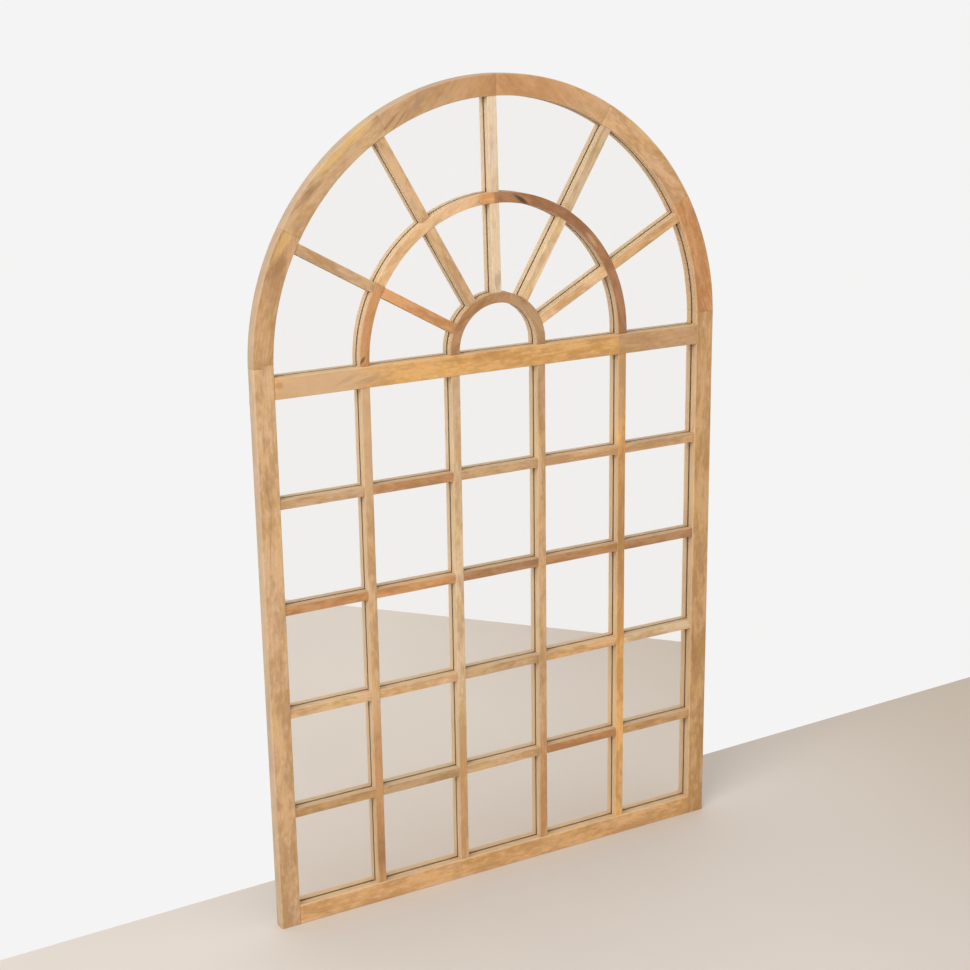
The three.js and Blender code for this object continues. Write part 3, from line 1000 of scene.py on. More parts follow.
def closed_surface(
    name: str,
    rings: Array,
    poles: Sequence[Array],
    marks: Mapping[str, Array] | None = None,
    sharp: float = 28.0,
) -> bpy.types.Object:
    """Makes a closed mesh from a grid that is closed round its rings and has a pole at each end.

    The surface is a function of the ring and of the place round it; the two poles close it
    with fans of triangles. If its signed volume, the sum of triple products over its faces,
    is negative, the faces are turned round.

    Args:
        name: The object's name.
        rings: Points, rings by places by three, in millimetres.
        poles: The pole before the first ring and the pole after the last.
        marks: Point attributes, each rings by places.
        sharp: Angle in degrees above which an edge is shaded sharp.

    Returns:
        The new object, linked to the scene.
    """
    count, places = rings.shape[:2]
    pole = count * places
    index = np.arange(pole).reshape(count, places)
    turned = np.roll(index, -1, axis=1)
    quads = np.stack([index[:-1], turned[:-1], turned[1:], index[1:]], axis=-1).reshape(-1, 4)
    fan_first = np.stack([np.full(places, pole), turned[0], index[0]], axis=-1)
    fan_last = np.stack([np.full(places, pole + 1), index[-1], turned[-1]], axis=-1)
    points = np.vstack([rings.reshape(-1, 3), *poles]) * MILLIMETRE
    triangles = np.vstack([quads[:, :3], quads[:, [0, 2, 3]], fan_first, fan_last])
    a, b, c = (points[triangles[:, k]] - points.mean(axis=0) for k in range(3))
    way = -1 if np.einsum("ij,ij->i", a, np.cross(b, c)).sum() < 0.0 else 1
    faces = [face for part in (quads, fan_first, fan_last) for face in part[:, ::way].tolist()]
    mesh = bpy.data.meshes.new(name)
    mesh.from_pydata(points.tolist(), [], faces)
    for attribute, values in (marks or {}).items():
        layer = mesh.attributes.new(attribute, "FLOAT", "POINT")
        layer.data.foreach_set("value", np.append(values.ravel(), [0.0, 0.0]).astype(np.float32))
    mesh.polygons.foreach_set("use_smooth", np.ones(len(faces), bool))
    mesh.update()
    mesh.set_sharp_from_angle(angle=math.radians(sharp))
    return new_object(name, mesh)


def sections(outline: Outline, stops: Stops, seed: float, wear: float = 0.22) -> tuple[Array, Array]:
    """Lays a section at every station, its ease drifting a little as hand sanding leaves it.

    The ease share is 1 + wear * (0.6 * sin(7.3 s + seed) + 0.4 * sin(19.1 s + 2 seed)), with s
    the share of the length, and each point moves inwards by the station's inset.

    Args:
        outline: The section.
        stops: The stations.
        seed: Start of the drift.
        wear: How much the ease drifts.

    Returns:
        Places across the face and into the depth, each stations by section points.
    """
    drift = 0.6 * np.sin(7.3 * stops.share + seed) + 0.4 * np.sin(19.1 * stops.share + 2.0 * seed)
    points = outline.corner[None] + (1.0 + wear * drift)[:, None, None] * outline.pull[None]
    points = points + stops.inset[:, None, None] * outline.inward()[None]
    return points[..., 0], points[..., 1]


@dataclass(frozen=True)
class Board:
    """One board: its section carried along its path.

    Centre is the place of its middle along the path, core the middle of its end, and grain_line
    the place across its face where its timber is centred. Outer is one on surround boards.
    """

    name: str
    outline: Outline
    path: Path
    stops: Stops
    centre: float
    core: Spot
    grain_line: float = 0.0
    rabbet_from: float | None = None
    outer: float = 0.0

    def build(self, finish: TimberFinish) -> bpy.types.Object:
        """Makes the board's mesh and dresses it.

        Args:
            finish: The finish of the timber.

        Returns:
            The finished piece.
        """
        look = LOOKS[self.name]
        across, depth = sections(self.outline, self.stops, look.seed)
        if self.rabbet_from is not None:
            across = self._stop_rabbets(across)
        rings = self.path.points(self.stops, across, depth)
        # Painted light: shares of a pale colour on the sides and back, for the light they would catch.
        behind = np.clip((depth - depth.min()) / FLANK_START, 0.0, 1.0)
        back = depth > depth.max() - BACK_BAND
        # Painted sheen: share of a greyer colour on the surround's outer side.
        outer = behind * self.outer * (across > across.max() - FLANK_START) * ~back
        painted_flank_light = np.where(back, BACK_PAINTED_LIGHT, SIDE_PAINTED_LIGHT * behind) * (1.0 - outer)
        marks = {"edge": np.ones_like(across) * self.outline.edge, "painted_flank_light": painted_flank_light, "painted_outer_sheen": SIDE_PAINTED_SHEEN * outer}
        piece = closed_surface(finished(self.name), rings, [self._pole(0), self._pole(-1)], marks)
        middle = self.path.spot(self.grain_line, self.centre)
        run = self.path.heading(self.centre)
        piece.data.materials.append(finish.material(self.name, look, middle, run))
        return fitted(piece, look.tone.slot, self.name)

    def _stop_rabbets(self, across: Array) -> Array:
        """Closes the rabbets below the place where they stop.

        Args:
            across: Places across the face, stations by section points.

        Returns:
            The places, with those of closed rabbets drawn to within a hair of the sight edge.
        """
        steps = np.cumsum(self.outline.rabbet) * HAIR * self.outline.rabbet
        low = self.stops.share[:, None] * self.path.finish(across).max() < self.rabbet_from
        return np.where(low & (self.outline.rabbet > 0.0), steps[None], across)

    def _pole(self, row: int) -> Array:
        """Middle point of one end, level with the middle of its rim."""
        stop = Stops(self.stops.share[[row]], self.stops.past[[row]], np.zeros(1))
        return self.path.points(stop, np.array([[self.core[0]]]), np.array([[self.core[1]]]))[0, 0]


def finished(node: str) -> str:
    """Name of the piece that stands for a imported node."""
    return f"finished_{node}"


def fitted(
    piece: bpy.types.Object, slot: str, node: str | None = None, body: str = MIRROR_BODY
) -> bpy.types.Object:
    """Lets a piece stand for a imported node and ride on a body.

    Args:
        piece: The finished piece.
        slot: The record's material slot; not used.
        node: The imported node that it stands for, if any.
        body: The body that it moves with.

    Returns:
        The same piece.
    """
    if node is not None:
        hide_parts(node)
    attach(piece, body)
    return piece


# ---------------------------------------------------------------------------
# Sub-assemblies
# ---------------------------------------------------------------------------


@dataclass(kw_only=True)
class MirrorSizes:
    """Sizes that several sub-assemblies share."""

    sight_half: float = 460.0
    rail_top: float = 40.0
    transom_top: float = 1088.0
    spring_height: float = 1100.0
    glass_front: float = 16.0
    glass_back: float = 20.0
    glue_line: float = 0.2


@dataclass(frozen=True)
class BarKind:
    """A kind of bar or transom: eased front corners, and a flat back on the glass."""

    face: float
    spacing: float
    end_ease: float
    front: float = 2.0
    back: float = 16.0
    ease: float = 1.2

    def build(
        self, name: str, path: Path, length: float, centre: float, finish: TimberFinish
    ) -> bpy.types.Object:
        """Builds one bar of this kind.

        Args:
            name: The bar's name.
            path: Its middle line.
            length: Its length, for the number of stations.
            centre: Place of its middle along the path.
            finish: The finish of its timber.

        Returns:
            The finished bar.
        """
        half = self.face / 2
        front = [Corner(side, self.front, self.ease) for side in (half, -half)]
        outline = eased_outline([*front, Corner(-half, self.back), Corner(half, self.back)])
        stops = Stops.along(length, self.spacing, self.end_ease)
        core = (0.0, (self.front + self.back) / 2)
        return Board(name, outline, path, stops, centre, core).build(finish)


@dataclass(kw_only=True)
class Surround(MirrorSizes):
    """The outer frame: two stiles, a bottom rail and the six boards of the head."""

    finish: TimberFinish
    face: float = 40.0
    depth: float = 25.0
    stile_top: float = 1113.0
    joint_step: float = 5.5
    step_half: float = 0.02
    ease: float = 2.0
    back_ease: float = 0.6
    glass_rabbet: float = 8.0
    backing_rabbet: float = 21.0
    spacing: float = 14.0
    head_spacing: float = 9.0
    stile_end_ease: float = 0.25
    rail_end_ease: float = 0.3
    head_end_ease: float = 0.2
    rabbet_stop: float = 0.06
    core: Spot = (30.0, 10.0)
    head_joints: tuple[float, ...] = (180.0, 150.0, 119.0, 90.0, 60.0, 30.0, 0.0)

    def build(self) -> list[bpy.types.Object]:
        """Builds the nine boards."""
        stiles = [self._stile("stile_left", 1.0), self._stile("stile_right", -1.0)]
        return [*stiles, self._rail(), *(self._head_board(k) for k in range(len(self.head_joints) - 1))]

    def _outline(self, has_step: bool) -> Outline:
        """Section of a frame board with its steps for glass and backing, across from the sight edge.

        Args:
            has_step: Whether the board has a stepped joint, and so two more points mid face.

        Returns:
            The section.
        """
        half, back = self.face / 2, self.glass_back
        step = [half - self.step_half, half + self.step_half] if has_step else []
        return eased_outline(
            [
                Corner(self.face, 0.0, self.ease),
                *(Corner(across, 0.0) for across in step[::-1]),
                Corner(0.0, 0.0, self.ease),
                Corner(0.0, self.glass_front),
                Corner(self.glass_rabbet, self.glass_front, rabbet=1.0),
                *(Corner(across, back, rabbet=1.0) for across in (self.glass_rabbet, *step)),
                Corner(self.backing_rabbet, back, rabbet=1.0),
                Corner(self.backing_rabbet, self.depth, rabbet=1.0),
                Corner(self.face, self.depth, self.back_ease),
            ]
        )

    def _board(
        self,
        name: str,
        path: Path,
        stops: Stops,
        centre: float,
        has_step: bool = False,
        rabbet_from: float | None = None,
    ) -> bpy.types.Object:
        """Builds one board of the surround.

        Args:
            name: The board's name.
            path: Its sight edge.
            stops: Its stations.
            centre: Place of its middle along the path.
            has_step: Whether it has a stepped joint.
            rabbet_from: Where its rabbets start, if they stop short of its foot.

        Returns:
            The finished board.
        """
        outline = self._outline(has_step)
        board = Board(name, outline, path, stops, centre, self.core, self.face / 2, rabbet_from, 1.0)
        return board.build(self.finish)

    def _stile(self, name: str, flip: float) -> bpy.types.Object:
        """Builds one stile; the left one ends in a step under the head.

        Args:
            name: The stile's name.
            flip: One for the left stile, minus one for the right.

        Returns:
            The finished stile.
        """
        is_left, top = flip > 0.0, self.stile_top
        finish = stepped(top, top - self.joint_step, self.face / 2) if is_left else level(top)
        foot = self.face - self.backing_rabbet
        path = StraightPath((-flip * self.sight_half, 0.0), level(0.0), finish, 90.0, flip)
        breaks = (foot / top, (foot + self.rabbet_stop) / top)
        stops = Stops.along(top, self.spacing, self.stile_end_ease, breaks)
        return self._board(name, path, stops, top / 2, is_left, foot + self.rabbet_stop / 2)

    def _rail(self) -> bpy.types.Object:
        """Builds the bottom rail.

        Returns:
            The finished rail.
        """
        reach = self.sight_half - self.glue_line / 2
        path = StraightPath((0.0, self.face), level(-reach), level(reach), 0.0, -1.0)
        stops = Stops.along(2 * reach, self.spacing, self.rail_end_ease)
        return self._board("bottom_rail", path, stops, 0.0)

    def _head_board(self, order: int) -> bpy.types.Object:
        """Builds one board of the head, its grain along its chord.

        Args:
            order: Its number from the left foot, starting at nothing.

        Returns:
            The finished board.
        """
        left, right = self.head_joints[order], self.head_joints[order + 1]
        trim = self.glue_line / 2 / self.sight_half
        begin, finish = level(math.radians(right) + trim), level(math.radians(left) - trim)
        rise = self.stile_top - self.spring_height + self.glue_line
        if right == 0.0:
            begin = self._foot(rise, rise, 0.0, 1.0)
        if order == 0:
            finish = self._foot(rise, rise - self.joint_step, math.pi, -1.0)
        path = BentPath((0.0, self.spring_height), begin, finish, self.sight_half)
        length = math.radians(left - right) * (self.sight_half + self.face)
        stops = Stops.along(length, self.head_spacing, self.head_end_ease)
        centre = math.radians((left + right) / 2)
        return self._board(f"arch_segment_{order + 1}", path, stops, centre, order == 0)

    def _foot(self, inner: float, outer: float, base: float, sign: float) -> Reach:
        """A level foot on a stile: the angle at which each radius comes down to the foot's height.

        Args:
            inner: Height over the spring line on the inner half of the face.
            outer: Height on the outer half.
            base: Angle of the spring line on this side.
            sign: One on the right, minus one on the left.

        Returns:
            The end's angle across the face.
        """
        rise = stepped(inner, outer, self.face / 2)
        return lambda across: base + sign * np.arcsin(rise(across) / (self.sight_half + across))


@dataclass(kw_only=True)
class GlazingGrid(MirrorSizes):
    """The transom and the grid of bars below it: full-height uprights with short bars between."""

    finish: TimberFinish
    transom_bottom: float = 1048.0
    transom_joint: float = 272.4
    columns: int = 5
    rows: int = 5
    transom: BarKind = BarKind(40.0, 14.0, 0.3, front=0.0, ease=2.0)
    upright: BarKind = BarKind(18.0, 14.0, 0.3)
    cross: BarKind = BarKind(18.0, 12.0, 0.35)

    def build(self) -> list[bpy.types.Object]:
        """Builds the transom's two boards, the uprights and the cross bars.

        Returns:
            The pieces.
        """
        half, joint = self.sight_half, self.transom_joint
        height = (self.transom_bottom + self.transom_top) / 2
        pieces = [
            self._level("transom_long", self.transom, -half, joint, height),
            self._level("transom_short", self.transom, joint, half, height),
        ]
        pieces += [self._upright(k) for k in range(1, self.columns)]
        pieces += [self._cross(row, k) for row in range(1, self.rows) for k in range(1, self.columns + 1)]
        return pieces

    @property
    def column_pitch(self) -> float:
        """Distance from one upright's middle to the next."""
        return (2 * self.sight_half + self.upright.face) / self.columns

    def _level(self, name: str, kind: BarKind, left: float, right: float, height: float) -> bpy.types.Object:
        """Builds one level board or bar.

        Args:
            name: Its name.
            kind: What kind of bar it is.
            left: The joint at its left end.
            right: The joint at its right end.
            height: Height of its middle.

        Returns:
            The finished piece.
        """
        trim = self.glue_line / 2
        path = StraightPath((0.0, height), level(left + trim), level(right - trim), 0.0)
        return kind.build(name, path, right - left, (left + right) / 2, self.finish)

    def _upright(self, order: int) -> bpy.types.Object:
        """Builds one upright bar.

        Args:
            order: Its number from the left.

        Returns:
            The finished bar.
        """
        across = (order - self.columns / 2) * self.column_pitch
        low, high = self.rail_top + self.glue_line / 2, self.transom_bottom - self.glue_line / 2
        path = StraightPath((across, 0.0), level(low), level(high), 90.0)
        return self.upright.build(f"upright_bar_{order}", path, high - low, (low + high) / 2, self.finish)

    def _cross(self, row: int, column: int) -> bpy.types.Object:
        """Builds one short bar.

        Args:
            row: Its row, counted from the top.
            column: Its column, counted from the left.

        Returns:
            The finished bar.
        """
        left = -self.sight_half + (column - 1) * self.column_pitch
        right = left + self.column_pitch - self.upright.face
        row_pitch = (self.transom_bottom - self.rail_top + self.cross.face) / self.rows
        height = self.transom_bottom + self.cross.face / 2 - row * row_pitch
        return self._level(f"cross_bar_r{row}_c{column}", self.cross, left, right, height)


@dataclass(frozen=True)
class Circle:
    """A circle in the mirror's plane."""

    centre: Spot
    radius: float

    def along(self, start: Spot, angle: float) -> Reach:
        """Distance along a spoke to the circle, for each place across its face.

        With q the way from the circle's centre to the start of the line and m its part along
        the line, the distance is the root of m squared less q squared plus r squared, less m.

        Args:
            start: Start of the spoke's line.
            angle: Its direction in degrees.

        Returns:
            The distance as a function of the place across.
        """
        cosine, sine = math.cos(math.radians(angle)), math.sin(math.radians(angle))

        def distance(across: Array) -> Array:
            """Works out the distance.

            Args:
                across: Places across the spoke's face.

            Returns:
                The distance for each.
            """
            x = start[0] - self.centre[0] - across * sine
            z = start[1] - self.centre[1] + across * cosine
            part = x * cosine + z * sine
            return np.sqrt(part**2 - (x**2 + z**2) + self.radius**2) - part

        return distance


@dataclass(kw_only=True)
class Fanlight(MirrorSizes):
    """Two concentric arches on the transom, with a ring of spokes outside each."""

    finish: TimberFinish
    centre_height: float = 1094.0
    hub_height: float = 1085.0
    outer_radius: float = 281.4
    inner_radius: float = 93.8
    play: float = 0.15
    arc: BarKind = BarKind(20.0, 6.0, 0.2)
    spoke: BarKind = BarKind(19.0, 12.0, 0.35)
    spoke_angles: tuple[float, ...] = (150.5, 120.0, 91.0, 59.0, 28.5)
    outer_joints: tuple[float, ...] = (150.0, 97.5, 91.0, 30.0)
    inner_joints: tuple[float, ...] = (75.0,)

    def build(self) -> list[bpy.types.Object]:
        """Builds the arches and the spokes.

        Returns:
            The pieces.
        """
        pieces = self._arch("fan_outer_arc", self.outer_radius, self.outer_joints)
        pieces += self._arch("fan_inner_arc", self.inner_radius, self.inner_joints)
        centre, half = (0.0, self.centre_height), self.arc.face / 2 + self.play
        head = Circle((0.0, self.spring_height), self.sight_half - self.play)
        outer, inner = Circle(centre, self.outer_radius + half), Circle(centre, self.inner_radius + half)
        rings = {"outer": (outer, head), "inner": (inner, Circle(centre, self.outer_radius - half))}
        for ring, circles in rings.items():
            for k, angle in enumerate(self.spoke_angles):
                pieces.append(self._spoke(f"fan_{ring}_spoke_{k + 1}", angle, circles))
        return pieces

    def _arch(self, family: str, radius: float, joints: Sequence[float]) -> list[bpy.types.Object]:
        """Builds the boards of one arch from its left foot to its right foot.

        Args:
            family: Start of the boards' names.
            radius: Radius of the arch's middle line.
            joints: Angles of the joints between boards, in degrees, from the left.

        Returns:
            The boards.
        """
        drop = self.centre_height - self.transom_top
        trim = self.glue_line / 2 / radius
        ends = [180.0, *joints, 0.0]
        pieces = []
        for k, (left, right) in enumerate(zip(ends, ends[1:])):
            begin, finish = level(math.radians(right) + trim), level(math.radians(left) - trim)
            if k == 0:
                finish = lambda across: math.pi + np.arcsin(drop / (radius + across))
            if k == len(joints):
                begin = lambda across: -np.arcsin(drop / (radius + across))
            path = BentPath((0.0, self.centre_height), begin, finish, radius)
            length, centre = math.radians(left - right) * radius, math.radians((left + right) / 2)
            pieces.append(self.arc.build(f"{family}_{k + 1}", path, length, centre, self.finish))
        return pieces

    def _spoke(self, name: str, angle: float, circles: tuple[Circle, Circle]) -> bpy.types.Object:
        """Builds one spoke between two circles, each end cut to the circle that it meets.

        Args:
            name: The spoke's name.
            angle: Its direction in degrees.
            circles: The circle at its foot and the circle at its head.

        Returns:
            The spoke.
        """
        hub = (0.0, self.hub_height)
        begin, finish = (circle.along(hub, angle) for circle in circles)
        low, high = (float(reach(np.zeros(1))[0]) for reach in (begin, finish))
        path = StraightPath(hub, begin, finish, angle)
        return self.spoke.build(name, path, high - low, (low + high) / 2, self.finish)


@dataclass(kw_only=True)
class Glazing(MirrorSizes):
    """The mirror glass, the backing board behind it and the screws that hold the board."""

    effects: SharedEffects
    glass_lap: float = 7.0
    arris: float = 0.5
    contact_play: float = 0.05
    backing_lap: float = 20.0
    backing_back: float = 23.0
    backing_arris: float = 0.4
    arch_steps: int = 120
    screw_line: float = 474.0
    screw_recess: float = 1.0
    screw_rough: float = 0.26
    screw_profile: tuple[Spot, ...] = (
        (0.0, 1.5), (0.9, 1.46), (1.7, 1.3), (2.4, 0.95), (2.8, 0.5), (2.9, 0.0), (1.4, -0.1), (1.4, -9.0)
    )
    stile_screws: tuple[float, ...] = (110.0, 400.0, 690.0, 980.0)
    rail_screws: tuple[float, ...] = (-310.0, 0.0, 310.0)
    head_screws: tuple[float, ...] = (15.0, 45.0, 75.0, 104.5, 134.5, 165.0)

    def build(self) -> list[bpy.types.Object]:
        """Builds the glass, the board and its screws.

        Returns:
            The pieces.
        """
        front, back = self.glass_front + self.contact_play, self.glass_back - self.contact_play
        glass = self._panel("mirror_glass", self.glass_lap, (front, back), self.arris)
        self._silver(glass)
        depths = (self.glass_back, self.backing_back)
        backing = self._panel("backing_board", self.backing_lap, depths, self.backing_arris)
        backing.data.materials.append(PressedBoard().material())
        screws = self._screws()
        steel = PlatedSteel(self.effects, "plated_screw_steel", rough=self.screw_rough)
        screws.data.materials.append(steel.material())
        fitted(glass, "mirror", "mirror_glass")
        fitted(backing, "backing", "backing_board")
        return [glass, backing, fitted(screws, "screw_steel")]

    @staticmethod
    def _silver(glass: bpy.types.Object) -> None:
        """Dresses the glass: clear in front and on its edges, silver on the faces that look back.

        Args:
            glass: The glass.
        """
        finish = MirrorGlass()
        for material in (finish.clear(), finish.silvered()):
            glass.data.materials.append(material)
        normals = np.zeros(len(glass.data.polygons) * 3)
        glass.data.polygons.foreach_get("normal", normals)
        looks_back = normals.reshape(-1, 3)[:, 1] > 0.9
        glass.data.polygons.foreach_set("material_index", looks_back.astype(np.int32))

    def _arch(self, grown: float, depth: float) -> Array:
        """Outline of an arched panel: a half circle on two upright sides and a level foot.

        Args:
            grown: How far the outline lies outside the sight opening.
            depth: Its depth behind the frame's face.

        Returns:
            Points in order round the panel.
        """
        half = self.sight_half + grown
        turn = np.linspace(0.0, math.pi, self.arch_steps + 1)
        head = np.stack([half * np.cos(turn), self.spring_height + half * np.sin(turn)], axis=1)
        foot = self.rail_top - grown
        return np.insert(np.vstack([[[-half, foot], [half, foot]], head]), 1, depth + FRONT_PLANE, axis=1)

    def _panel(self, name: str, lap: float, depths: Spot, arris: float) -> bpy.types.Object:
        """Builds a flat panel: its outline carried over an edge with two small arrises.

        Args:
            name: The panel's name.
            lap: How far it laps the frame.
            depths: Depths of its front and back faces.
            arris: Width of the small bevel on each edge.

        Returns:
            The panel.
        """
        front, back = depths
        edge = ((lap - arris, front), (lap, front + arris), (lap, back - arris), (lap - arris, back))
        middle = (self.rail_top + self.spring_height) / 2
        poles = [np.array([0.0, depth + FRONT_PLANE, middle]) for depth in depths]
        return closed_surface(finished(name), np.stack([self._arch(*step) for step in edge]), poles)

    def _screws(self) -> bpy.types.Object:
        """Builds all pan-head screws of the backing board as one mesh.

        Returns:
            The piece.
        """
        line = self.screw_line
        sides = [(sign * line, z) for sign in (-1.0, 1.0) for z in self.stile_screws]
        foot = [(x, self.rail_top - (line - self.sight_half)) for x in self.rail_screws]
        turns = np.radians(self.head_screws)
        head = list(zip(line * np.cos(turns), self.spring_height + line * np.sin(turns)))
        base = self.backing_back + FRONT_PLANE
        parts = [
            screw(f"backing_screw_{k}", (x, base, z), self.screw_profile, self.screw_recess, 0.7 + 0.9 * k)
            for k, (x, z) in enumerate([*sides, *foot, *head])
        ]
        with bpy.context.temp_override(active_object=parts[0], selected_editable_objects=parts):
            bpy.ops.object.join()
        parts[0].name = parts[0].data.name = "backing_screws"
        return parts[0]


def screw(
    name: str, place: Place, profile: Sequence[Spot], recess: float, turn: float, sides: int = 24
) -> bpy.types.Object:
    """Makes a screw with a cross recess, its head towards the back.

    The head's height over the radius comes from the profile. Within the half width of the
    cross, and out to its share of the head's radius, the surface is sunk by the recess.

    Args:
        name: The screw's name.
        place: Middle of the head's seat, in the row frame, in millimetres.
        profile: Radius and height over the seat, from the head's middle to the tip.
        recess: Depth of the cross recess.
        turn: How the cross is turned, in radians.
        sides: Facets round the screw.

    Returns:
        The screw.
    """
    line = np.array(profile, float)
    widest = line[:, 0].max()
    is_head = np.arange(len(line)) < int(np.argmax(line[:, 0])) + 1
    fine = np.linspace(0.25, 1.0, 7) * widest
    head_height = np.interp(fine, line[is_head, 0], line[is_head, 1])
    radius = np.concatenate([fine, line[~is_head, 0]])[:, None]
    height = np.concatenate([head_height, line[~is_head, 1]])[:, None]
    angle = np.linspace(0.0, 2.0 * math.pi, sides, endpoint=False)
    slot_x, slot_z = np.abs(radius * np.cos(angle + turn)), np.abs(radius * np.sin(angle + turn))
    in_cross = (np.minimum(slot_x, slot_z) < CROSS_HALF) & (np.maximum(slot_x, slot_z) < CROSS_REACH * widest)
    y = height - np.where(in_cross & (height > 0.0), recess, 0.0)
    rings = np.stack([radius * np.cos(angle), y, radius * np.sin(angle)], axis=-1) + place
    poles = [np.add(place, (0.0, rise, 0.0)) for rise in (line[0, 1] - recess, line[-1, 1] - 2.0)]
    return closed_surface(name, rings, poles, sharp=40.0)


@dataclass
class RingHanger:
    """One hanger: a screwed strap whose curl holds a wire ring."""

    effects: SharedEffects
    side: str
    across: float
    pivot_depth: float = 27.75
    pivot_height: float = 1050.0
    strap_length: float = 36.0
    strap_width: float = 11.0
    strap_thickness: float = 1.25
    strap_corner: float = 3.0
    strap_ease: float = 0.24
    wire_radius: float = 1.25
    wire_play: float = 0.25
    curl_end: float = -60.0
    ring_leg: float = 10.0
    ring_corner: float = 2.0
    ring_side_play: float = 0.6
    wire_gap: float = 0.8
    screw_drop: float = 27.0
    screw_recess: float = 0.9
    screw_profile: tuple[Spot, ...] = (
        (0.0, 0.8), (1.2, 0.72), (2.2, 0.45), (3.1, 0.05), (1.5, -1.6), (1.5, -13.0)
    )

    def build(self) -> list[bpy.types.Object]:
        """Builds the strap, its screw and the ring, and lets the ring ride on its own body.

        Returns:
            The pieces.
        """
        steel = PlatedSteel(self.effects, f"plated_hanger_steel_{self.side}").material()
        strap, ring, fixing = self._strap(), self._ring(), self._screw()
        for piece in (strap, ring):
            piece.data.materials.append(steel)
        screw_steel = PlatedSteel(self.effects, f"plated_fixing_steel_{self.side}", "d3d3cf", "a8a8a2", 0.24)
        fixing.data.materials.append(screw_steel.material())
        fitted(strap, "hanger_steel", f"hanger_strap_{self.side}")
        fitted(ring, "hanger_steel", f"hanger_ring_{self.side}", f"ring_{self.side}")
        fitted(fixing, "screw_steel", f"hanger_screw_{self.side}")
        return [strap, ring, fixing]

    def _strap(self) -> bpy.types.Object:
        """Builds the strap: a flat section carried up the frame's back and over the wire.

        Along the path the middle line rises straight at its radius from the pivot and then
        turns round it; the width is full but for a round foot, where it is the half width
        less c plus the root of c squared less (c - s) squared, c being the foot's corner.

        Returns:
            The strap.
        """
        thick, corner, low = self.strap_thickness / 2, self.strap_corner, 0.01
        radius = self.wire_radius + self.wire_play + thick
        foot, shank = np.linspace(0.0, corner, 7), np.linspace(corner, self.strap_length, 9)
        rise = np.concatenate([[low], foot[1:], shank[1:]])
        sweep = np.radians(np.linspace(180.0, self.curl_end, 25))[1:]
        flat = np.ones(len(rise))
        y = radius * np.concatenate([-flat, np.cos(sweep)])
        z = np.concatenate([rise - self.strap_length, radius * np.sin(sweep)])
        out_y = np.concatenate([-flat, np.cos(sweep)])[:, None]
        out_z = np.concatenate([0.0 * flat, np.sin(sweep)])[:, None]
        start = np.minimum(np.concatenate([rise, np.full(len(sweep), corner)]), corner)
        half = self.strap_width / 2 - corner + np.sqrt(corner**2 - (corner - start) ** 2)
        corners = ((1.0, -thick), (1.0, thick), (-1.0, thick), (-1.0, -thick))
        ease = self.strap_ease
        outline = eased_outline([Corner(*place, ease) for place in corners], steps=2, support=0.05)
        side, height = (outline.corner + outline.pull).T
        x = np.sign(side) * half[:, None] + side - np.sign(side)
        depth = FRONT_PLANE + self.pivot_depth + y[:, None] + out_y * height
        rings = np.stack([self.across + x, depth, self.pivot_height + z[:, None] + out_z * height], axis=-1)
        ends = rings.mean(axis=1)
        marks = {"edge": np.ones_like(x) * outline.edge}
        return closed_surface(finished(f"hanger_strap_{self.side}"), rings, [ends[0], ends[-1]], marks)

    def _ring(self) -> bpy.types.Object:
        """Builds the ring: a round wire carried from inside the curl round a D and back.

        Returns:
            The ring.
        """
        half = self.strap_width / 2 + self.ring_side_play + self.wire_radius
        corner, leg = self.ring_corner, self.ring_leg
        quarter = np.linspace(math.pi / 2, 0.0, 7)
        bottom = np.linspace(0.0, -math.pi, 33)
        bar = np.stack([np.linspace(self.wire_gap / 2, half - corner, 6)[:-1], np.zeros(5)], axis=1)
        bend = np.stack([np.cos(quarter), np.sin(quarter)], axis=1) * corner + [half - corner, -corner]
        shank = np.stack([np.full(4, half), np.linspace(-corner, -leg, 6)[1:-1]], axis=1)
        arc = np.stack([half * np.cos(bottom), -leg + half * np.sin(bottom)], axis=1)
        right = np.vstack([bar, bend, shank])
        line = np.vstack([right, arc, right[::-1] * np.array([-1.0, 1.0])])
        tangent = np.gradient(line, axis=0)
        tangent /= np.linalg.norm(tangent, axis=1, keepdims=True)
        turn = np.linspace(0.0, 2.0 * math.pi, 16, endpoint=False)
        out = self.wire_radius * np.cos(turn)[None]
        deep = FRONT_PLANE + self.pivot_depth + self.wire_radius * np.sin(turn)[None]
        x = self.across + line[:, :1] - tangent[:, 1:] * out
        z = self.pivot_height + line[:, 1:] + tangent[:, :1] * out
        rings = np.stack([x, np.broadcast_to(deep, x.shape), z], axis=-1)
        ends = rings.mean(axis=1)
        return closed_surface(finished(f"hanger_ring_{self.side}"), rings, [ends[0], ends[-1]])

    def _screw(self) -> bpy.types.Object:
        """Builds the strap's raised countersunk screw.

        Returns:
            The screw.
        """
        seat = FRONT_PLANE + self.pivot_depth - self.wire_radius - self.wire_play
        place = (self.across, seat, self.pivot_height - self.screw_drop)
        name, turn = finished(f"hanger_screw_{self.side}"), 0.4 + self.across
        return screw(name, place, self.screw_profile, self.screw_recess, turn)


# ---------------------------------------------------------------------------
# Stage
# ---------------------------------------------------------------------------


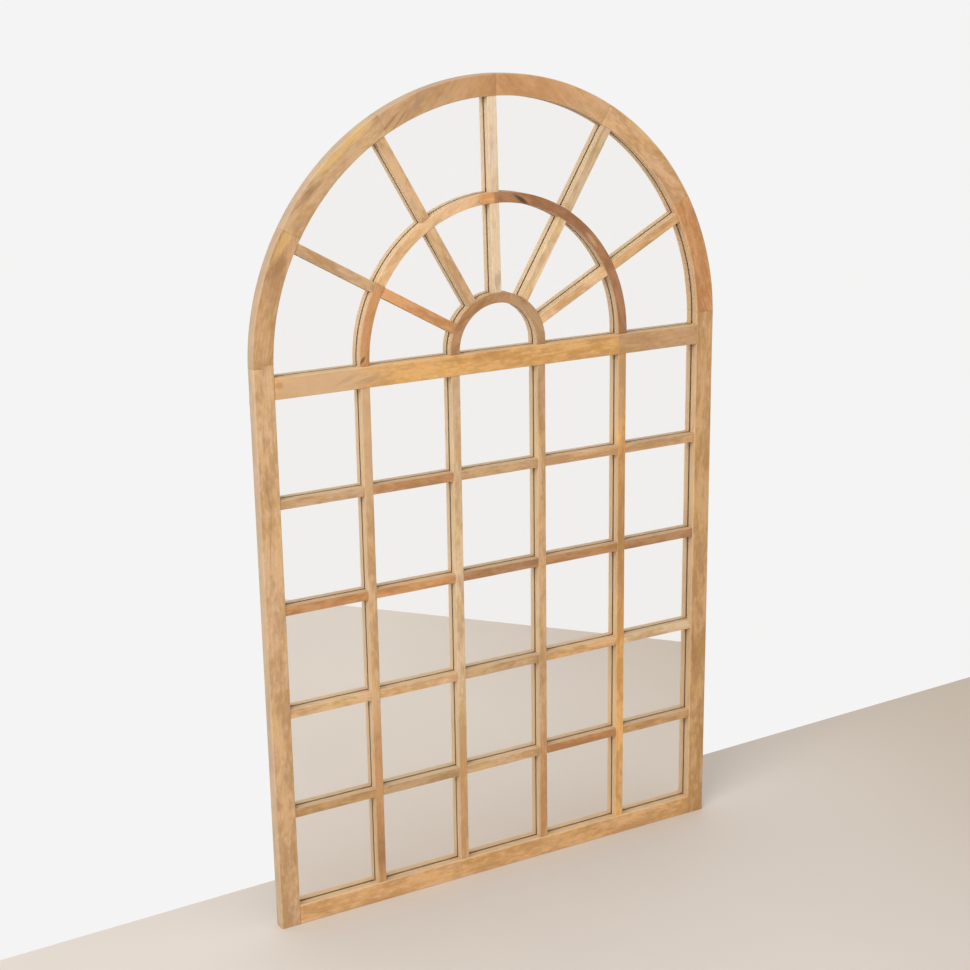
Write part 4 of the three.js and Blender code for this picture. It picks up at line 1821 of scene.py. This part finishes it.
@dataclass
class Studio:
    """Pale floor, white surroundings, a soft light and the camera."""

    lens: float = 64.263
    sensor: float = 36.0
    clip: Spot = (0.05, 60.0)
    eye: Place = (-1594.22, -2826.42, 1753.29)
    pitch: float = -0.2808015
    roll: float = -0.0150074
    heading: float = 0.5061885
    far_edge: tuple[Spot, Spot] = ((-4200.0, 50.0), (2019.0, 253.0))
    near_edge: tuple[Spot, Spot] = ((-4200.0, -6688.0), (2010.0, 243.0))
    floor_points: int = 25
    floor_colour: str = "dbd2c9"
    floor_shades: Spot = (0.965, 1.02)
    floor_rough: float = 0.62
    floor_gloss: float = 0.2
    # Painted shade: the floor turns to a darker colour towards +X, over this span in metres.
    painted_shade_floor_colour: str = "c6b9aa"
    painted_shade_span: Spot = (0.2, 1.6)
    surround_colour: str = "f5f4f4"
    ambient_colour: str = "fffefc"
    ambient: float = 0.8
    lamp_place: Place = (-4200.0, -2700.0, 3700.0)
    lamp_aim: Place = (0.0, 0.0, 700.0)
    lamp_size: float = 3.2
    lamp_power: float = 175.0

    def build(self) -> None:
        """Builds the floor, the surroundings, the light and the camera."""
        self._floor()
        self._surroundings()
        self._lamp()
        self._camera()

    def _floor(self) -> None:
        """Builds the floor: a level sheet whose far edge runs where the wall would stand, with painted shade
        darkening it towards +X.
        """
        count = self.floor_points
        share = np.linspace(0.0, 1.0, count)
        u, v = share[:, None, None], share[None, :, None]
        far, near = (np.array(e[0]) * (1 - u) + np.array(e[1]) * u for e in (self.far_edge, self.near_edge))
        sheet = far * (1 - v) + near * v
        points = np.concatenate([sheet, np.zeros((count, count, 1))], axis=-1).reshape(-1, 3) * MILLIMETRE
        index = np.arange(count * count).reshape(count, count)
        rims = [index[:-1, :-1], index[:-1, 1:], index[1:, 1:], index[1:, :-1]]
        mesh = bpy.data.meshes.new("studio_floor")
        mesh.from_pydata(points.tolist(), [], np.stack(rims, axis=-1).reshape(-1, 4).tolist())
        mesh.update()
        floor = new_object("studio_floor", mesh)
        wire = MaterialWiring("matt_floor")
        place = wire.place()
        cloud, tone = wire.noise(place, (0.9, 0.9, 0.9), 3.0), linear(self.floor_colour)
        dark, light = (shaded(tone, share) for share in self.floor_shades)
        colour = wire.mix(wire.span(cloud, 0.3, 0.7), dark, light)
        # Painted shade: darker towards +X.
        across = wire.node("ShaderNodeSeparateXYZ", {0: place}).outputs["X"]
        colour = wire.mix(wire.span(across, *self.painted_shade_span), colour, linear(self.painted_shade_floor_colour))
        results = {"Base Color": colour, "Roughness": self.floor_rough}
        floor.data.materials.append(wire.close(results | {"Specular IOR Level": self.floor_gloss}))

    def _surroundings(self) -> None:
        """Lights from all round, and a near white behind and in the mirror."""
        world = bpy.data.worlds.new("white_room")
        bpy.context.scene.world = world
        world.use_nodes = True
        world.node_tree.nodes.clear()
        wire = Wiring(world.node_tree)
        lit, seen = (
            wire.node("ShaderNodeBackground", {"Color": linear(code), "Strength": strength}).outputs[0]
            for code, strength in ((self.ambient_colour, self.ambient), (self.surround_colour, 1.0))
        )
        ray = wire.node("ShaderNodeLightPath").outputs
        share = wire.number("MAXIMUM", ray["Is Camera Ray"], ray["Is Glossy Ray"])
        share = wire.number("MAXIMUM", share, ray["Is Transmission Ray"])
        both = wire.node("ShaderNodeMixShader", {0: share, 1: lit, 2: seen}).outputs[0]
        wire.node("ShaderNodeOutputWorld", {"Surface": both})

    def _lamp(self) -> None:
        """Adds one soft square light."""
        data = bpy.data.lights.new("key_light", "AREA")
        data.shape = "SQUARE"
        data.size = self.lamp_size
        data.energy = self.lamp_power
        lamp = new_object("key_light", data)
        way = Vector(self.lamp_aim) - Vector(self.lamp_place)
        lamp.location = Vector(self.lamp_place) * MILLIMETRE
        lamp.rotation_euler = way.to_track_quat("-Z", "Y").to_euler()
        lamp.visible_camera = False
        lamp.visible_glossy = False

    def _camera(self) -> None:
        """Adds the camera where the picture was taken from."""
        pitch, roll, heading = self.pitch, self.roll, self.heading
        level_way = np.array([math.sin(heading), math.cos(heading), 0.0])
        ahead = level_way * math.cos(pitch) + np.array([0.0, 0.0, math.sin(pitch)])
        right = np.array([math.cos(heading), -math.sin(heading), 0.0])
        up = np.cross(right, ahead)
        own_right = right * math.cos(roll) + up * math.sin(roll)
        own_up = -right * math.sin(roll) + up * math.cos(roll)
        data = bpy.data.cameras.new("picture_camera")
        data.sensor_width = self.sensor
        data.lens = self.lens
        data.clip_start, data.clip_end = self.clip
        camera = new_object("picture_camera", data)
        camera.rotation_mode = "QUATERNION"
        turn = np.stack([own_right, own_up, -ahead], axis=1)
        camera.rotation_quaternion = Matrix(turn.tolist()).to_quaternion()
        camera.location = Vector(self.eye) * MILLIMETRE
        bpy.context.scene.camera = camera


def main() -> None:
    """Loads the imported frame, builds every sub-assembly and reports each piece."""
    logging.basicConfig(level=logging.INFO, format="%(name)s: %(message)s")
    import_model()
    bpy.context.scene.view_settings.view_transform = "Standard"
    effects = SharedEffects()
    timber = TimberFinish(effects)
    assemblies = [
        Surround(finish=timber),
        GlazingGrid(finish=timber),
        Fanlight(finish=timber),
        Glazing(effects=effects),
        *(RingHanger(effects, side, across) for side, across in HANGERS),
    ]
    for assembly in assemblies:
        for piece in assembly.build():
            faces = len(piece.data.polygons)
            log.info("%s: %s, %d faces", type(assembly).__name__, piece.name, faces)
    Studio().build()


if __name__ == "__main__":
    main()
